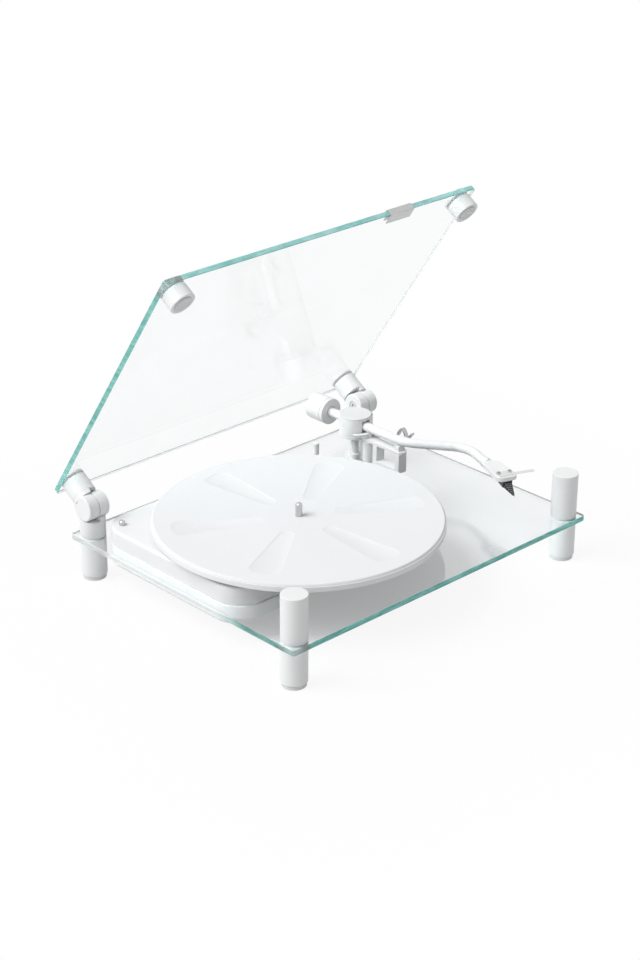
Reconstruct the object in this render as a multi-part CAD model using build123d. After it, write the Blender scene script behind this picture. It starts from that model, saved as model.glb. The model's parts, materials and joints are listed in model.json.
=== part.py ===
from build123d import *
import math
import os

# A turntable on a clear glass base, with a glass lid on two half-lap column hinges, a belt-driven
# platter and an S-shaped arm. Millimetres, +Z up, front of the object towards -Y, floor at Z = 0.
# It is drawn about the middle of the base glass and moved at the end, so that the middle of the
# whole object, with its lid open, stands over the origin.

# Glass plates: the base and the lid are the same sheet
plate_w = 420.0
plate_d = 334.0
plate_t = 6.0
plate_corner_r = 4.0
plate_bevel = 0.6

# Columns, gaskets, studs and feet
column_d = 27.0
column_inset = 16.5
column_bevel = 0.7
foot_h = 4.6
foot_d = 24.6
leg_h = 37.4
gasket_t = 0.6
gasket_d = 25.0
stud_d = 6.0
stud_reach = 12.0
stud_hole_d = 8.0

# Lid hinges: half-lap knuckles inside the column's own diameter
hinge_h = 80.5
hinge_drop = 33.5
knuckle_gap = 0.5
hinge_washer_t = 0.8
hinge_washer_d = 20.0
hinge_pin_d = 7.0
hinge_pin_end = 2.4
hinge_head_d = 11.0
hinge_head_t = 2.2
hinge_head_depth = 3.0
hex_socket_w = 5.0
hex_socket_depth = 1.4
lid_open_angle = 56.7

# Lid fittings
lid_cap_t = 2.0
bumper_h = 14.7
bumper_pad_t = 1.4
bumper_pad_proud = 0.8
bumper_pad_d = 19.0
bumper_rest_gap = 0.3
handle_w = 34.0
handle_x = 100.0
handle_reach = 13.0
handle_t = 1.2
handle_bend_r = 0.6

# Platter, mat, spindle and bearing
platter_d = 300.0
platter_left = 54.0
platter_front = 9.0
platter_t = 5.8
platter_rim_bevel = 0.5
platter_above_glass = 23.4
mat_t = 2.2
mat_margin = 1.2
mat_bevel = 0.4
recess_count = 6
recess_turn_angle = 31.0
recess_depth = 0.8
recess_inner_at = 46.0
recess_inner_r = 8.0
recess_outer_at = 120.0
recess_outer_r = 11.0
recess_outer_half = 5.0
hub_d = 124.0
hub_h = 5.2
hub_bore_d = 12.0
spindle_d = 7.2
spindle_seat_d = 9.0
spindle_above_mat = 14.4
spindle_nose = 1.6
spindle_shoulder_d = 12.0
journal_d = 10.0
bearing_d = 24.0
bearing_hole_clearance = 0.5
bearing_flange_d = 46.0
bearing_flange_t = 4.0
bearing_below_glass = 19.0
bearing_floor_t = 3.0
bearing_top_gap = 0.8
thrust_ball_d = 5.0
bearing_nut_d = 40.0
bearing_nut_t = 6.0

# Belt drive
motor_left = 86.0
motor_behind = 22.0
pulley_d = 14.0
pulley_flange_t = 0.6
pulley_flange_d = 17.0
belt_h = 2.8
belt_t = 0.6
belt_gap = 0.3
motor_d = 34.0
motor_h = 14.0
motor_shaft_d = 2.0

# Housing of the motor and electronics: two shells that meet inside a cut-out of the glass
housing_w = 109.6
housing_d = 212.1
housing_beside_platter = 32.0
housing_before_edge = 28.1
housing_corner_share = 0.292
housing_wall = 2.5
housing_above = 17.8
housing_below = 17.7
housing_top_round = 3.0
housing_bottom_round = 5.5
housing_lip = 1.0
boss_d = 9.0
boss_inset_x = 8.0
boss_inset_y = 34.0
screw_d = 3.0
screw_head_d = 5.6
screw_head_t = 1.8
board_t = 1.6
board_standoff = 3.0
board_margin = 2.0
board_l = 150.0
board_leg_d = 4.0

# Speed switch on the housing's top
switch_from_side = 14.8
switch_from_back = 20.8
switch_knob_d = 6.6
switch_knob_h = 4.4
switch_flat_share = 0.25
switch_step_share = 0.33
switch_shaft_d = 2.6
switch_body_d = 9.0
switch_body_h = 6.0
switch_float = 0.3

# Sockets on the back of the lower shell
phono_d = 8.3
phono_bore_d = 3.2
phono_reach = 9.0
phono_collar_d = 11.0
phono_collar_t = 1.5
phono_pitch = 16.0
phono_side = 8.0
inlet_w = 12.0
inlet_h = 9.0
inlet_reach = 1.5
inlet_bore_d = 5.5
inlet_pin_d = 2.1
inlet_depth = 9.0
inlet_side = 14.2
socket_below_glass = 6.6
socket_tail = 8.0

# Arm bearing: column, swivel and carrier
arm_x = 131.0
arm_y = 97.0
arm_column_d = 8.6
arm_collar_d = 12.4
arm_collar_h = 8.4
arm_thread_d = 8.0
arm_thread_drop = 8.0
arm_nut_d = 20.0
arm_nut_t = 5.0
swivel_d = 34.8
swivel_h = 21.0
swivel_cap_t = 2.0
swivel_floor_t = 3.0
swivel_gap = 0.4
swivel_pin_d = 5.0
swivel_pin_end_gap = 2.0
swivel_room_w = 17.0
swivel_room_l = 26.0
slot_side_gap = 0.8
slot_rise_gap = 1.8
carrier_d = 13.0
carrier_l = 22.0
carrier_core_l = 11.0
gimbal_pin_d = 3.0
gimbal_pin_bite = 3.0

# Arm tube, headshell and cartridge
tube_d = 10.0
tube_wall = 0.9
tube_straight_to = 22.0
tube_bend_angle = 36.0
tube_bend_out_r = 38.0
tube_bend_back_r = 33.0
stylus_side = 5.0
arm_reach = 228.0
stylus_above_mat = 2.0
headshell_yaw_angle = 20.0
headshell_reach = 62.0
shell_collar_d = 11.6
shell_collar_l = 8.0
shell_pin_d = 2.6
shell_pin_proud = 1.0
shell_stem_d = 9.0
shell_stem_l = 8.0
shell_l = 45.0
shell_w = 24.0
shell_nose_r = 7.0
shell_shoulder_w = 19.6
shell_shoulder_r = 3.0
shell_shoulder_l = 8.0
shell_root_w = 11.0
shell_root_r = 2.0
shell_t = 4.4
shell_roof_t = 2.0
shell_rim_w = 1.4
shell_top_above_axis = 5.0
cartridge_pitch = 12.7
cartridge_screw_d = 2.4
cartridge_screw_head_d = 4.4
cartridge_screw_head_t = 1.3
cartridge_screw_back = 23.5
cartridge_w = 16.6
cartridge_l = 17.0
cartridge_t = 3.6
cartridge_body_w = 11.0
cartridge_body_drop = 10.8
cartridge_heel_share = 0.31
cartridge_toe_share = 0.61
stylus_w = 9.0
stylus_root_share = 0.59
stylus_nose = 1.5
stylus_tip_w = 2.4
stylus_tip_h = 1.2
stylus_tip_gap = 0.5
cantilever_d = 0.7
lift_tab_t = 1.0
lift_tab_base_r = 3.0
lift_tab_base_l = 4.6
lift_tab_w = 4.4
lift_tab_reach = 29.8
lift_tab_slant = 1.9

# Counterweight
rear_shaft_d = 10.0
rear_shaft_l = 60.0
weight_d = 29.4
weight_front = 38.0
weight_l = 26.0
weight_bevel = 0.8
dial_ring_l = 4.2
dial_groove = 0.5
weight_neck_d = 24.0
weight_end_t = 2.5
dial_recess_d = 12.4
dial_recess_depth = 1.0
weight_bore_clearance = 0.08

# Arm board, cueing lift, frame and rest
board_arm_t = 3.4
board_arm_d = 36.0
board_arm_w = 12.0
board_arm_l = 76.0
lift_at = 22.5
lift_damper_d = 15.0
lift_damper_h = 24.0
lift_rod_d = 5.0
lift_rod_in = 14.0
lift_bar_w = 4.0
lift_bar_t = 2.6
lift_bar_before_angle = 9.0
lift_bar_after_angle = 52.0
ahead_angle = 270.0
rest_gap = 0.3
frame_near = 33.0
frame_far = 73.0
frame_leg_l = 6.5
frame_foot_h = 5.0
frame_h = 23.0
rest_at = 68.0
rest_w = 15.0
rest_l = 6.5
rest_lip_w = 2.6
rest_lip_h = 6.4
rest_lip_gap = 2.8

# Cueing lever: a bent metal strip on a pin across the board
lever_x = 12.5
lever_w = 5.0
lever_t = 1.8
lever_hub_d = 8.0
lever_pin_d = 3.0
lever_pin_head_d = 5.4
lever_pin_head_t = 0.9
lever_rise = 13.0
lever_crest_at = 60.2
lever_crest_rise = 18.9
lever_dip_at = 68.0
lever_dip_rise = 10.0
lever_tip_at = 75.9
lever_tip_rise = 18.0

# Small peg near the rear edge of the base
peg_x = 109.0
peg_y = 135.5
peg_d = 6.6
peg_h = 13.5
peg_bevel = 0.8

# Fits: shafts in their own bores, pieces beside each other, and one overrun for cuts
fit = 0.05
clear = 0.3
over = 1.0

# Places worked out from the sizes above
column_r = column_d / 2
column_x = plate_w / 2 - column_inset
column_y = plate_d / 2 - column_inset
glass_low = foot_h + leg_h + gasket_t
glass_top = glass_low + plate_t
post_low = glass_top + gasket_t
lid_low = hinge_h + hinge_drop
lid_top = lid_low + plate_t
bumper_low = lid_low - gasket_t - bumper_h
front_post_top = bumper_low - bumper_pad_proud - bumper_rest_gap
leg_shoulder = hinge_h + column_r + knuckle_gap
post_shoulder = hinge_h - column_r - knuckle_gap
ear_face = hinge_washer_t / 2

platter_x = -platter_left
platter_y = -platter_front
platter_low = glass_top + platter_above_glass
platter_top = platter_low + platter_t
mat_top = platter_top + mat_t
hub_low = platter_low - hub_h
belt_mid = platter_low - hub_h / 2
motor_x = platter_x - motor_left
motor_y = platter_y + motor_behind

housing_x = platter_x - housing_beside_platter - housing_w / 2
housing_corner_r = housing_w * housing_corner_share
housing_back = plate_d / 2 - housing_before_edge
housing_front = housing_back - housing_d
housing_y = (housing_front + housing_back) / 2
housing_split = glass_low + plate_t / 2
housing_top = glass_top + housing_above
housing_bottom = glass_low - housing_below
housing_ceiling = housing_top - housing_wall
housing_floor = housing_bottom + housing_wall
switch_x = housing_x - housing_w / 2 + switch_from_side
switch_y = housing_back - switch_from_back
phono_x = housing_x + phono_side
inlet_x = housing_x - inlet_side
socket_z = glass_low - socket_below_glass

stylus_x = arm_x + stylus_side
stylus_y = arm_y - arm_reach
stylus_z = mat_top + stylus_above_mat
cartridge_top = stylus_z + cartridge_t + cartridge_body_drop
cartridge_low = cartridge_top - cartridge_t
shell_top = cartridge_top + shell_roof_t
shell_low = shell_top - shell_t
arm_axis = shell_top - shell_top_above_axis
swivel_low = arm_axis - swivel_h / 2
swivel_top = swivel_low + swivel_h
swivel_room_low = swivel_low + swivel_floor_t
tube_r = tube_d / 2
board_arm_top = swivel_low - swivel_gap
board_arm_low = board_arm_top - board_arm_t
lift_y = arm_y - lift_at
lift_bar_top = arm_axis - tube_r - rest_gap
lever_pin_y = lift_y
lever_pin_z = board_arm_low + lever_hub_d / 2

BASE = (Align.CENTER, Align.CENTER, Align.MIN)
LOW = Align.MIN
sides = (("left", -1), ("right", 1))


# Shapes that many pieces share
def rod(radius, low, high, x=0, y=0):
    """A round bar standing from one height to another."""
    return Pos(x, y, low) * Cylinder(radius, high - low, align=BASE)


def rod_x(radius, left, right, y, z):
    """A round bar lying along X."""
    return Pos(left, y, z) * Rot(0, 90, 0) * Cylinder(radius, right - left, align=BASE)


def rod_y(radius, front, back, x, z):
    """A round bar lying along Y."""
    return Pos(x, front, z) * Rot(-90, 0, 0) * Cylinder(radius, back - front, align=BASE)


def block(left, right, front, back, low, high):
    """A box between three pairs of planes."""
    return Pos(left, front, low) * Box(right - left, back - front, high - low, align=(LOW, LOW, LOW))


def slab(sketch, low, high, x=0, y=0):
    """A flat outline raised from one height to another."""
    return Pos(x, y, low) * extrude(sketch, high - low)


def hull(*circles):
    """The outline of a cord pulled tight round circles, each given as x, y and radius."""
    edges = [(Pos(x, y) * Circle(radius)).edge() for x, y, radius in circles]
    return make_face(make_hull(edges))


def ring(outer, inner, low, high, x=0, y=0):
    """A washer."""
    return rod(outer, low, high, x, y) - rod(inner, low - over, high + over, x, y)


def level_edges(shape, height):
    """The edges that lie flat at one height."""
    found = []
    for edge in shape.edges():
        box = edge.bounding_box()
        if abs(box.min.Z - height) < fit and abs(box.max.Z - height) < fit:
            found.append(edge)
    return found


def upright_edges(shape, axis=Axis.Z):
    """The edges that run along an axis."""
    return shape.edges().filter_by(axis)


# Glass
def plate_outline():
    """The sheet's outline with its small round corners."""
    return RectangleRounded(plate_w, plate_d, plate_corner_r)


def column_places():
    """The middle of each column, front ones first."""
    return [(side * column_x, end * column_y) for end in (-1, 1) for side in (-1, 1)]


def boss_places():
    """The middle of each screw of the housing."""
    across = housing_w / 2 - boss_inset_x
    along = housing_d / 2 - boss_inset_y
    return [(housing_x + i * across, housing_y + j * along) for i in (-1, 1) for j in (-1, 1)]


def glass_sheet(low, holes):
    """One bevelled sheet with round holes, each given as x, y and radius."""
    sheet = slab(plate_outline(), low, low + plate_t)
    sheet = chamfer(level_edges(sheet, low) + level_edges(sheet, low + plate_t), plate_bevel)
    for x, y, radius in holes:
        sheet -= rod(radius, low - over, low + plate_t + over, x, y)
    return sheet


def base_glass():
    """The base, drilled for the columns, bearing and arm, and cut out for the housing."""
    holes = [(x, y, stud_hole_d / 2) for x, y in column_places()]
    holes.append((platter_x, platter_y, bearing_d / 2 + bearing_hole_clearance))
    holes.append((arm_x, arm_y, arm_thread_d / 2 + clear))
    return glass_sheet(glass_low, holes) - housing_slab(housing_lip, glass_low - over, glass_top + over)


# Columns
def stud_bore(low, high, x, y):
    """The hole that takes one end of a stud."""
    return rod(stud_d / 2 + fit, low, high, x, y)


def front_posts():
    """The two plain posts on the glass, which the lid comes down on."""
    posts = []
    for x, y in column_places()[:2]:
        post = rod(column_r, post_low, front_post_top, x, y)
        post = chamfer(level_edges(post, front_post_top) + level_edges(post, post_low), column_bevel)
        posts.append(post - stud_bore(post_low - over, post_low + stud_reach + clear, x, y))
    return posts


def lower_legs():
    """The four legs under the glass, each stepped in where its foot begins."""
    legs = []
    for x, y in column_places():
        leg = rod(column_r, foot_h, foot_h + leg_h, x, y)
        leg = chamfer(level_edges(leg, foot_h) + level_edges(leg, foot_h + leg_h), column_bevel)
        leg -= stud_bore(foot_h + leg_h - stud_reach - clear, foot_h + leg_h + over, x, y)
        legs.append(leg)
    return legs


def rubber_feet():
    """The four feet, rounded where they meet the floor."""
    feet = []
    for x, y in column_places():
        foot = rod(foot_d / 2, 0, foot_h, x, y)
        feet.append(fillet(level_edges(foot, 0), column_bevel))
    return feet


def column_studs():
    """The four studs that clamp the glass between a leg and its post."""
    low = foot_h + leg_h - stud_reach
    high = post_low + stud_reach
    return [rod(stud_d / 2, low, high, x, y) for x, y in column_places()]


def column_gaskets():
    """The soft rings above and below the glass at each column."""
    rings = []
    for x, y in column_places():
        for low in (glass_low - gasket_t, glass_top):
            rings.append(ring(gasket_d / 2, stud_hole_d / 2, low, low + gasket_t, x, y))
    return rings


# Hinges
def knuckle_half(side, inner):
    """The inner or outer half of a column, as a block to keep."""
    x = side * column_x
    toward = -side if inner else side
    near, far = sorted((x + toward * ear_face, x + toward * column_d))
    return block(near, far, column_y - column_d, column_y + column_d, post_low, lid_low)


def knuckle(side, inner, end, shoulder):
    """A column from one end to its shoulder, and on from there as half a round knuckle."""
    x = side * column_x
    full = rod(column_r, min(end, shoulder), max(end, shoulder), x, column_y)
    neck = rod(column_r, min(shoulder, hinge_h), max(shoulder, hinge_h), x, column_y)
    eye = rod_x(column_r, x - column_d, x + column_d, column_y, hinge_h)
    eye = eye & rod(column_r, hinge_h - column_r, hinge_h + column_r, x, column_y)
    return full + ((neck + eye) & knuckle_half(side, inner))


def hinge_post(side):
    """A rear post, with its ear, the pin's bore and the seat of the pin's head."""
    x = side * column_x
    post = knuckle(side, True, post_low, post_shoulder)
    post = chamfer(level_edges(post, post_low), column_bevel)
    post -= rod_x(hinge_pin_d / 2 + fit, x - column_d, x + column_d, column_y, hinge_h)
    face = x - side * column_r
    seat = sorted((face - side * over, face + side * hinge_head_depth))
    post -= rod_x(hinge_head_d / 2 + clear, seat[0], seat[1], column_y, hinge_h)
    return post - stud_bore(post_low - over, post_low + stud_reach + clear, x, column_y)


def hinge_pins():
    """The two pins, each with a socket head on the side that faces the platter."""
    pins = []
    for _, side in sides:
        x = side * column_x
        seat = x - side * (column_r - hinge_head_depth)
        end = x + side * (column_r - hinge_pin_end)
        head_out = seat - side * hinge_head_t
        pin = rod_x(hinge_pin_d / 2, min(seat, end), max(seat, end), column_y, hinge_h)
        pin += rod_x(hinge_head_d / 2, min(seat, head_out), max(seat, head_out), column_y, hinge_h)
        socket = extrude(RegularPolygon(hex_socket_w / 2, 6), hex_socket_depth, both=True)
        pins.append(pin - Pos(head_out, column_y, hinge_h) * Rot(0, 90, 0) * socket)
    return pins


def hinge_washers():
    """The two thin washers between an ear and its lug."""
    washers = []
    for _, side in sides:
        left, right = side * column_x - ear_face, side * column_x + ear_face
        washer = rod_x(hinge_washer_d / 2, left, right, column_y, hinge_h)
        bore = rod_x(hinge_pin_d / 2 + fit, left - over, right + over, column_y, hinge_h)
        washers.append(washer - bore)
    return washers


# Lid: drawn closed, then turned open about the hinge pins
def opened(shape):
    """A piece of the closed lid, swung back to the photographed angle."""
    return Pos(0, column_y, hinge_h) * Rot(-lid_open_angle, 0, 0) * Pos(0, -column_y, -hinge_h) * shape


def lid_glass():
    """The lid, drilled for the stem of each cap."""
    return glass_sheet(lid_low, [(x, y, stud_hole_d / 2) for x, y in column_places()])


def lid_leg(side):
    """A rear leg of the lid, which turns on the hinge pin with its lug outside the ear."""
    x = side * column_x
    top = lid_low - gasket_t
    leg = knuckle(side, False, top, leg_shoulder)
    leg = chamfer(level_edges(leg, top), column_bevel)
    end = x + side * (column_r - hinge_pin_end + clear)
    bore = sorted((x - side * over, end))
    leg -= rod_x(hinge_pin_d / 2 + fit, bore[0], bore[1], column_y, hinge_h)
    return leg - stud_bore(top - stud_reach - clear, top + over, x, column_y)


def lid_bumpers():
    """The two front bumpers, each hollowed at its end for a soft pad."""
    bumpers = []
    low, top = bumper_low, lid_low - gasket_t
    pad_seat = low + bumper_pad_t - bumper_pad_proud
    for x, y in column_places()[:2]:
        bumper = rod(column_r, low, top, x, y)
        bumper = chamfer(level_edges(bumper, low) + level_edges(bumper, top), column_bevel)
        bumper -= rod(bumper_pad_d / 2 + clear, low - over, pad_seat, x, y)
        bumpers.append(bumper - stud_bore(top - stud_reach - clear, top + over, x, y))
    return bumpers


def bumper_pads():
    """The soft pads in the bumpers' ends."""
    low = bumper_low - bumper_pad_proud
    pads = [rod(bumper_pad_d / 2, low, low + bumper_pad_t, x, y) for x, y in column_places()[:2]]
    return [fillet(level_edges(pad, low), bumper_pad_proud / 2) for pad in pads]


def lid_caps():
    """The four caps outside the lid, each with the stem that goes through the glass."""
    caps = []
    low = lid_top + gasket_t
    for x, y in column_places():
        cap = rod(column_r, low, low + lid_cap_t, x, y)
        cap = chamfer(level_edges(cap, low + lid_cap_t), column_bevel)
        caps.append(cap + rod(stud_d / 2, lid_low - gasket_t - stud_reach, low, x, y))
    return caps


def lid_gaskets():
    """The soft rings on both faces of the lid at each cap."""
    rings = []
    for x, y in column_places():
        for low in (lid_low - gasket_t, lid_top):
            rings.append(ring(gasket_d / 2, stud_hole_d / 2, low, low + gasket_t, x, y))
    return rings


def lid_handle():
    """The metal clip folded over the lid's front edge."""
    front = -plate_d / 2 - handle_t
    back = front + handle_reach
    left, right = handle_x - handle_w / 2, handle_x + handle_w / 2
    clip = block(left, right, front, back, lid_low - handle_t, lid_top + handle_t)
    outer = [edge for edge in upright_edges(clip, Axis.X) if edge.center().Y < front + fit]
    clip = fillet(outer, handle_t + handle_bend_r)
    return clip - block(left - over, right + over, front + handle_t, back + over, lid_low, lid_top)


# Platter and bearing
def recess():
    """One shallow hollow of the mat, narrow near the spindle and wide near the rim."""
    inner = (recess_inner_at, 0, recess_inner_r)
    outer = [(recess_outer_at, i * recess_outer_half, recess_outer_r) for i in (-1, 1)]
    return hull(inner, *outer)


def platter():
    """The platter's disc."""
    disc = rod(platter_d / 2, platter_low, platter_top, platter_x, platter_y)
    disc = chamfer(level_edges(disc, platter_top) + level_edges(disc, platter_low), platter_rim_bevel)
    return disc - rod(spindle_seat_d / 2 + fit, platter_low - over, platter_top + over, platter_x, platter_y)


def platter_mat():
    """The mat on the platter, with its ring of hollows."""
    mat = rod(platter_d / 2 - mat_margin, platter_top, mat_top, platter_x, platter_y)
    mat = chamfer(level_edges(mat, platter_top) + level_edges(mat, mat_top), mat_bevel)
    mat -= rod(spindle_seat_d / 2 + fit, platter_top - over, mat_top + over, platter_x, platter_y)
    cut = slab(recess(), mat_top - recess_depth, mat_top + over)
    for i in range(recess_count):
        turn = recess_turn_angle + i * 360 / recess_count
        mat -= Pos(platter_x, platter_y, 0) * Rot(0, 0, turn) * cut
    return mat


def sub_platter():
    """The hub under the platter, whose rim the belt drives."""
    hub = rod(hub_d / 2, hub_low, platter_low, platter_x, platter_y)
    return hub - rod(hub_bore_d / 2 + fit, hub_low - over, platter_low + over, platter_x, platter_y)


def spindle():
    """The stepped shaft that turns in the bearing and centres the record."""
    top = mat_top + spindle_above_mat
    shaft = rod(spindle_d / 2, mat_top, top, platter_x, platter_y)
    shaft = chamfer(level_edges(shaft, top), spindle_nose, spindle_nose / 2)
    shaft += rod(spindle_seat_d / 2, platter_low, mat_top, platter_x, platter_y)
    shaft += rod(spindle_shoulder_d / 2, hub_low, platter_low, platter_x, platter_y)
    journal_low = glass_low - bearing_below_glass + bearing_floor_t + thrust_ball_d + clear
    return shaft + rod(journal_d / 2, journal_low, hub_low, platter_x, platter_y)


def bearing_housing():
    """The bearing's barrel, which hangs in the glass from its flange."""
    low, top = glass_low - bearing_below_glass, hub_low - bearing_top_gap
    barrel = rod(bearing_d / 2, low, top, platter_x, platter_y)
    barrel += rod(bearing_flange_d / 2, glass_top, glass_top + bearing_flange_t, platter_x, platter_y)
    barrel = chamfer(level_edges(barrel, top) + level_edges(barrel, low), column_bevel)
    bore = rod(journal_d / 2 + fit, low + bearing_floor_t, top + over, platter_x, platter_y)
    return barrel - bore


def thrust_ball():
    """The ball that the spindle stands on."""
    centre = glass_low - bearing_below_glass + bearing_floor_t + thrust_ball_d / 2
    return Pos(platter_x, platter_y, centre) * Sphere(thrust_ball_d / 2)


def clamp_nuts():
    """The nuts under the glass that hold the bearing and the arm's column."""
    bearing = ring(bearing_nut_d / 2, bearing_d / 2, glass_low - bearing_nut_t, glass_low,
                   platter_x, platter_y)
    arm = ring(arm_nut_d / 2, arm_thread_d / 2, glass_low - arm_nut_t, glass_low, arm_x, arm_y)
    return [bearing, arm]


# Belt drive
def belt_loop(grow):
    """The belt's outline, pushed out from the hub and pulley by a distance."""
    hub = (platter_x, platter_y, hub_d / 2 + grow)
    pulley = (motor_x, motor_y, pulley_d / 2 + grow)
    return hull(hub, pulley)


def drive_belt():
    """The flat belt round the hub and the motor's pulley."""
    low, high = belt_mid - belt_h / 2, belt_mid + belt_h / 2
    return slab(belt_loop(belt_gap + belt_t), low, high) - slab(belt_loop(belt_gap), low - over, high + over)


def motor_pulley():
    """The motor's pulley with a flange above and below the belt."""
    low, high = belt_mid - belt_h / 2 - clear, belt_mid + belt_h / 2 + clear
    wheel = rod(pulley_d / 2, low, high, motor_x, motor_y)
    for flange in (low - pulley_flange_t, high):
        wheel += rod(pulley_flange_d / 2, flange, flange + pulley_flange_t, motor_x, motor_y)
    bore = rod(motor_shaft_d / 2 + fit, low - column_d, high + column_d, motor_x, motor_y)
    return wheel - bore


def motor_shaft():
    """The shaft that carries the pulley out of the housing."""
    high = belt_mid + belt_h / 2 + clear + pulley_flange_t
    return rod(motor_shaft_d / 2, housing_ceiling - motor_h / 2, high, motor_x, motor_y)


def motor():
    """The flat motor under the housing's ceiling, with a socket for its shaft."""
    low = housing_ceiling - motor_h
    body = rod(motor_d / 2, low, housing_ceiling, motor_x, motor_y)
    body = chamfer(level_edges(body, low), column_bevel)
    bore = rod(motor_shaft_d / 2 + fit, housing_ceiling - motor_h / 2 - clear, housing_top, motor_x, motor_y)
    return body - bore


# Housing
def housing_outline(inset):
    """The rounded rectangle of the housing, drawn in by a distance."""
    return RectangleRounded(housing_w - 2 * inset, housing_d - 2 * inset, housing_corner_r - inset)


def housing_slab(inset, low, high):
    """The housing's outline, drawn in by a distance and raised in its place."""
    return slab(housing_outline(inset), low, high, housing_x, housing_y)


def upper_housing():
    """The shell that rests on the glass, open below, with a lip in the cut-out and its screw bosses."""
    shell = housing_slab(0, glass_top, housing_top)
    shell = fillet(level_edges(shell, housing_top), housing_top_round)
    shell += housing_slab(housing_lip + clear, housing_split, glass_top)
    shell -= housing_slab(housing_wall, housing_split - over, housing_ceiling)
    for x, y in boss_places():
        shell += rod(boss_d / 2, housing_split, housing_ceiling, x, y)
        shell -= rod(screw_d / 2 + fit, housing_split - over, housing_ceiling, x, y)
    shell -= rod(motor_shaft_d / 2 + clear, housing_ceiling - over, housing_top + over, motor_x, motor_y)
    hole = rod(switch_shaft_d / 2 + fit, housing_ceiling - over, housing_top + over, switch_x, switch_y)
    return shell - hole


def lower_housing():
    """The shell under the glass, open above, with its lip, the screws' seats and the sockets' holes."""
    shell = housing_slab(0, housing_bottom, glass_low)
    shell = fillet(level_edges(shell, housing_bottom), housing_bottom_round)
    shell += housing_slab(housing_lip + clear, glass_low, housing_split)
    shell -= housing_slab(housing_wall, housing_floor, housing_split + over)
    for x, y in boss_places():
        shell += rod(boss_d / 2, housing_floor, housing_split, x, y)
        shell -= rod(screw_d / 2 + fit, housing_bottom - over, housing_split + over, x, y)
        shell -= rod(screw_head_d / 2 + clear, housing_bottom - over, housing_bottom + screw_head_t, x, y)
    for x in phono_places():
        shell -= rod_y(phono_d / 2, housing_back - socket_tail, housing_back + over, x, socket_z)
    return shell - inlet_block(0)


def housing_screws():
    """The four screws that draw the two shells together in the cut-out."""
    screws = []
    for x, y in boss_places():
        screw = rod(screw_d / 2, housing_bottom, housing_ceiling - clear, x, y)
        screws.append(screw + rod(screw_head_d / 2, housing_bottom, housing_bottom + screw_head_t, x, y))
    return screws


def circuit_board():
    """The board on its four legs over the lower shell's floor, in front of the sockets."""
    low = housing_floor + board_standoff
    inset = housing_wall + board_margin
    outline = RectangleRounded(housing_w - 2 * inset, board_l, housing_corner_r - inset)
    middle = housing_front + inset + board_l / 2
    board = slab(outline, low, low + board_t, housing_x, middle)
    for x, y in boss_places():
        board -= rod(boss_d / 2 + clear, low - over, low + board_t + over, x, y)
    across, along = housing_w / 2 - housing_corner_r - inset, board_l / 2 - housing_corner_r
    for i, j in ((-1, -1), (-1, 1), (1, -1), (1, 1)):
        board += rod(board_leg_d / 2, housing_floor, low, housing_x + i * across, middle + j * along)
    return board


def speed_knob():
    """The small metal knob on the housing, with a flat for the fingers."""
    low = housing_top + switch_float
    knob = rod(switch_knob_d / 2, low, low + switch_knob_h, switch_x, switch_y)
    knob = chamfer(level_edges(knob, low + switch_knob_h), plate_bevel)
    flat = switch_knob_d * switch_flat_share
    step = low + switch_knob_h * switch_step_share
    knob -= block(switch_x + flat, switch_x + switch_knob_d, switch_y - switch_knob_d,
                  switch_y + switch_knob_d, step, low + switch_knob_h + over)
    return knob + rod(switch_shaft_d / 2, housing_ceiling - switch_body_h / 2, low, switch_x, switch_y)


def speed_switch():
    """The rotary switch under the knob."""
    low = housing_ceiling - switch_body_h
    body = rod(switch_body_d / 2, low, housing_ceiling, switch_x, switch_y)
    hollow = rod(switch_shaft_d / 2 + fit, low + switch_body_h / 2 - clear, housing_top, switch_x, switch_y)
    return body - hollow


# Sockets
def phono_places():
    """The X of each phono socket."""
    return [phono_x + side * phono_pitch / 2 for _, side in sides]


def phono_sockets():
    """The two round signal sockets on the back."""
    sockets = []
    back = housing_back + phono_reach
    for x in phono_places():
        socket = rod_y(phono_d / 2, housing_back - socket_tail, back, x, socket_z)
        socket += rod_y(phono_collar_d / 2, housing_back, housing_back + phono_collar_t, x, socket_z)
        socket -= rod_y(phono_bore_d / 2, housing_back, back + over, x, socket_z)
        sockets.append(socket)
    return sockets


def inlet_block(proud):
    """The outside of the power inlet, standing out of the shell by a distance."""
    left, right = inlet_x - inlet_w / 2, inlet_x + inlet_w / 2
    low, high = socket_z - inlet_h / 2, socket_z + inlet_h / 2
    return block(left, right, housing_back - inlet_depth - socket_tail / 2, housing_back + proud, low, high)


def power_inlet():
    """The round power inlet with its centre pin."""
    body = inlet_block(inlet_reach)
    floor = housing_back + inlet_reach - inlet_depth
    body -= rod_y(inlet_bore_d / 2, floor, housing_back + inlet_reach + over, inlet_x, socket_z)
    return body + rod_y(inlet_pin_d / 2, floor, housing_back, inlet_x, socket_z)


# Arm bearing
def arm_column():
    """The column on the glass, bored for the swivel's pin and threaded below."""
    column = rod(arm_column_d / 2, glass_top, board_arm_low, arm_x, arm_y)
    column += rod(arm_collar_d / 2, glass_top, glass_top + arm_collar_h, arm_x, arm_y)
    column += rod(arm_thread_d / 2, glass_low - arm_thread_drop, glass_top, arm_x, arm_y)
    return column - rod(swivel_pin_d / 2 + fit, glass_top, board_arm_low + over, arm_x, arm_y)


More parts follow.
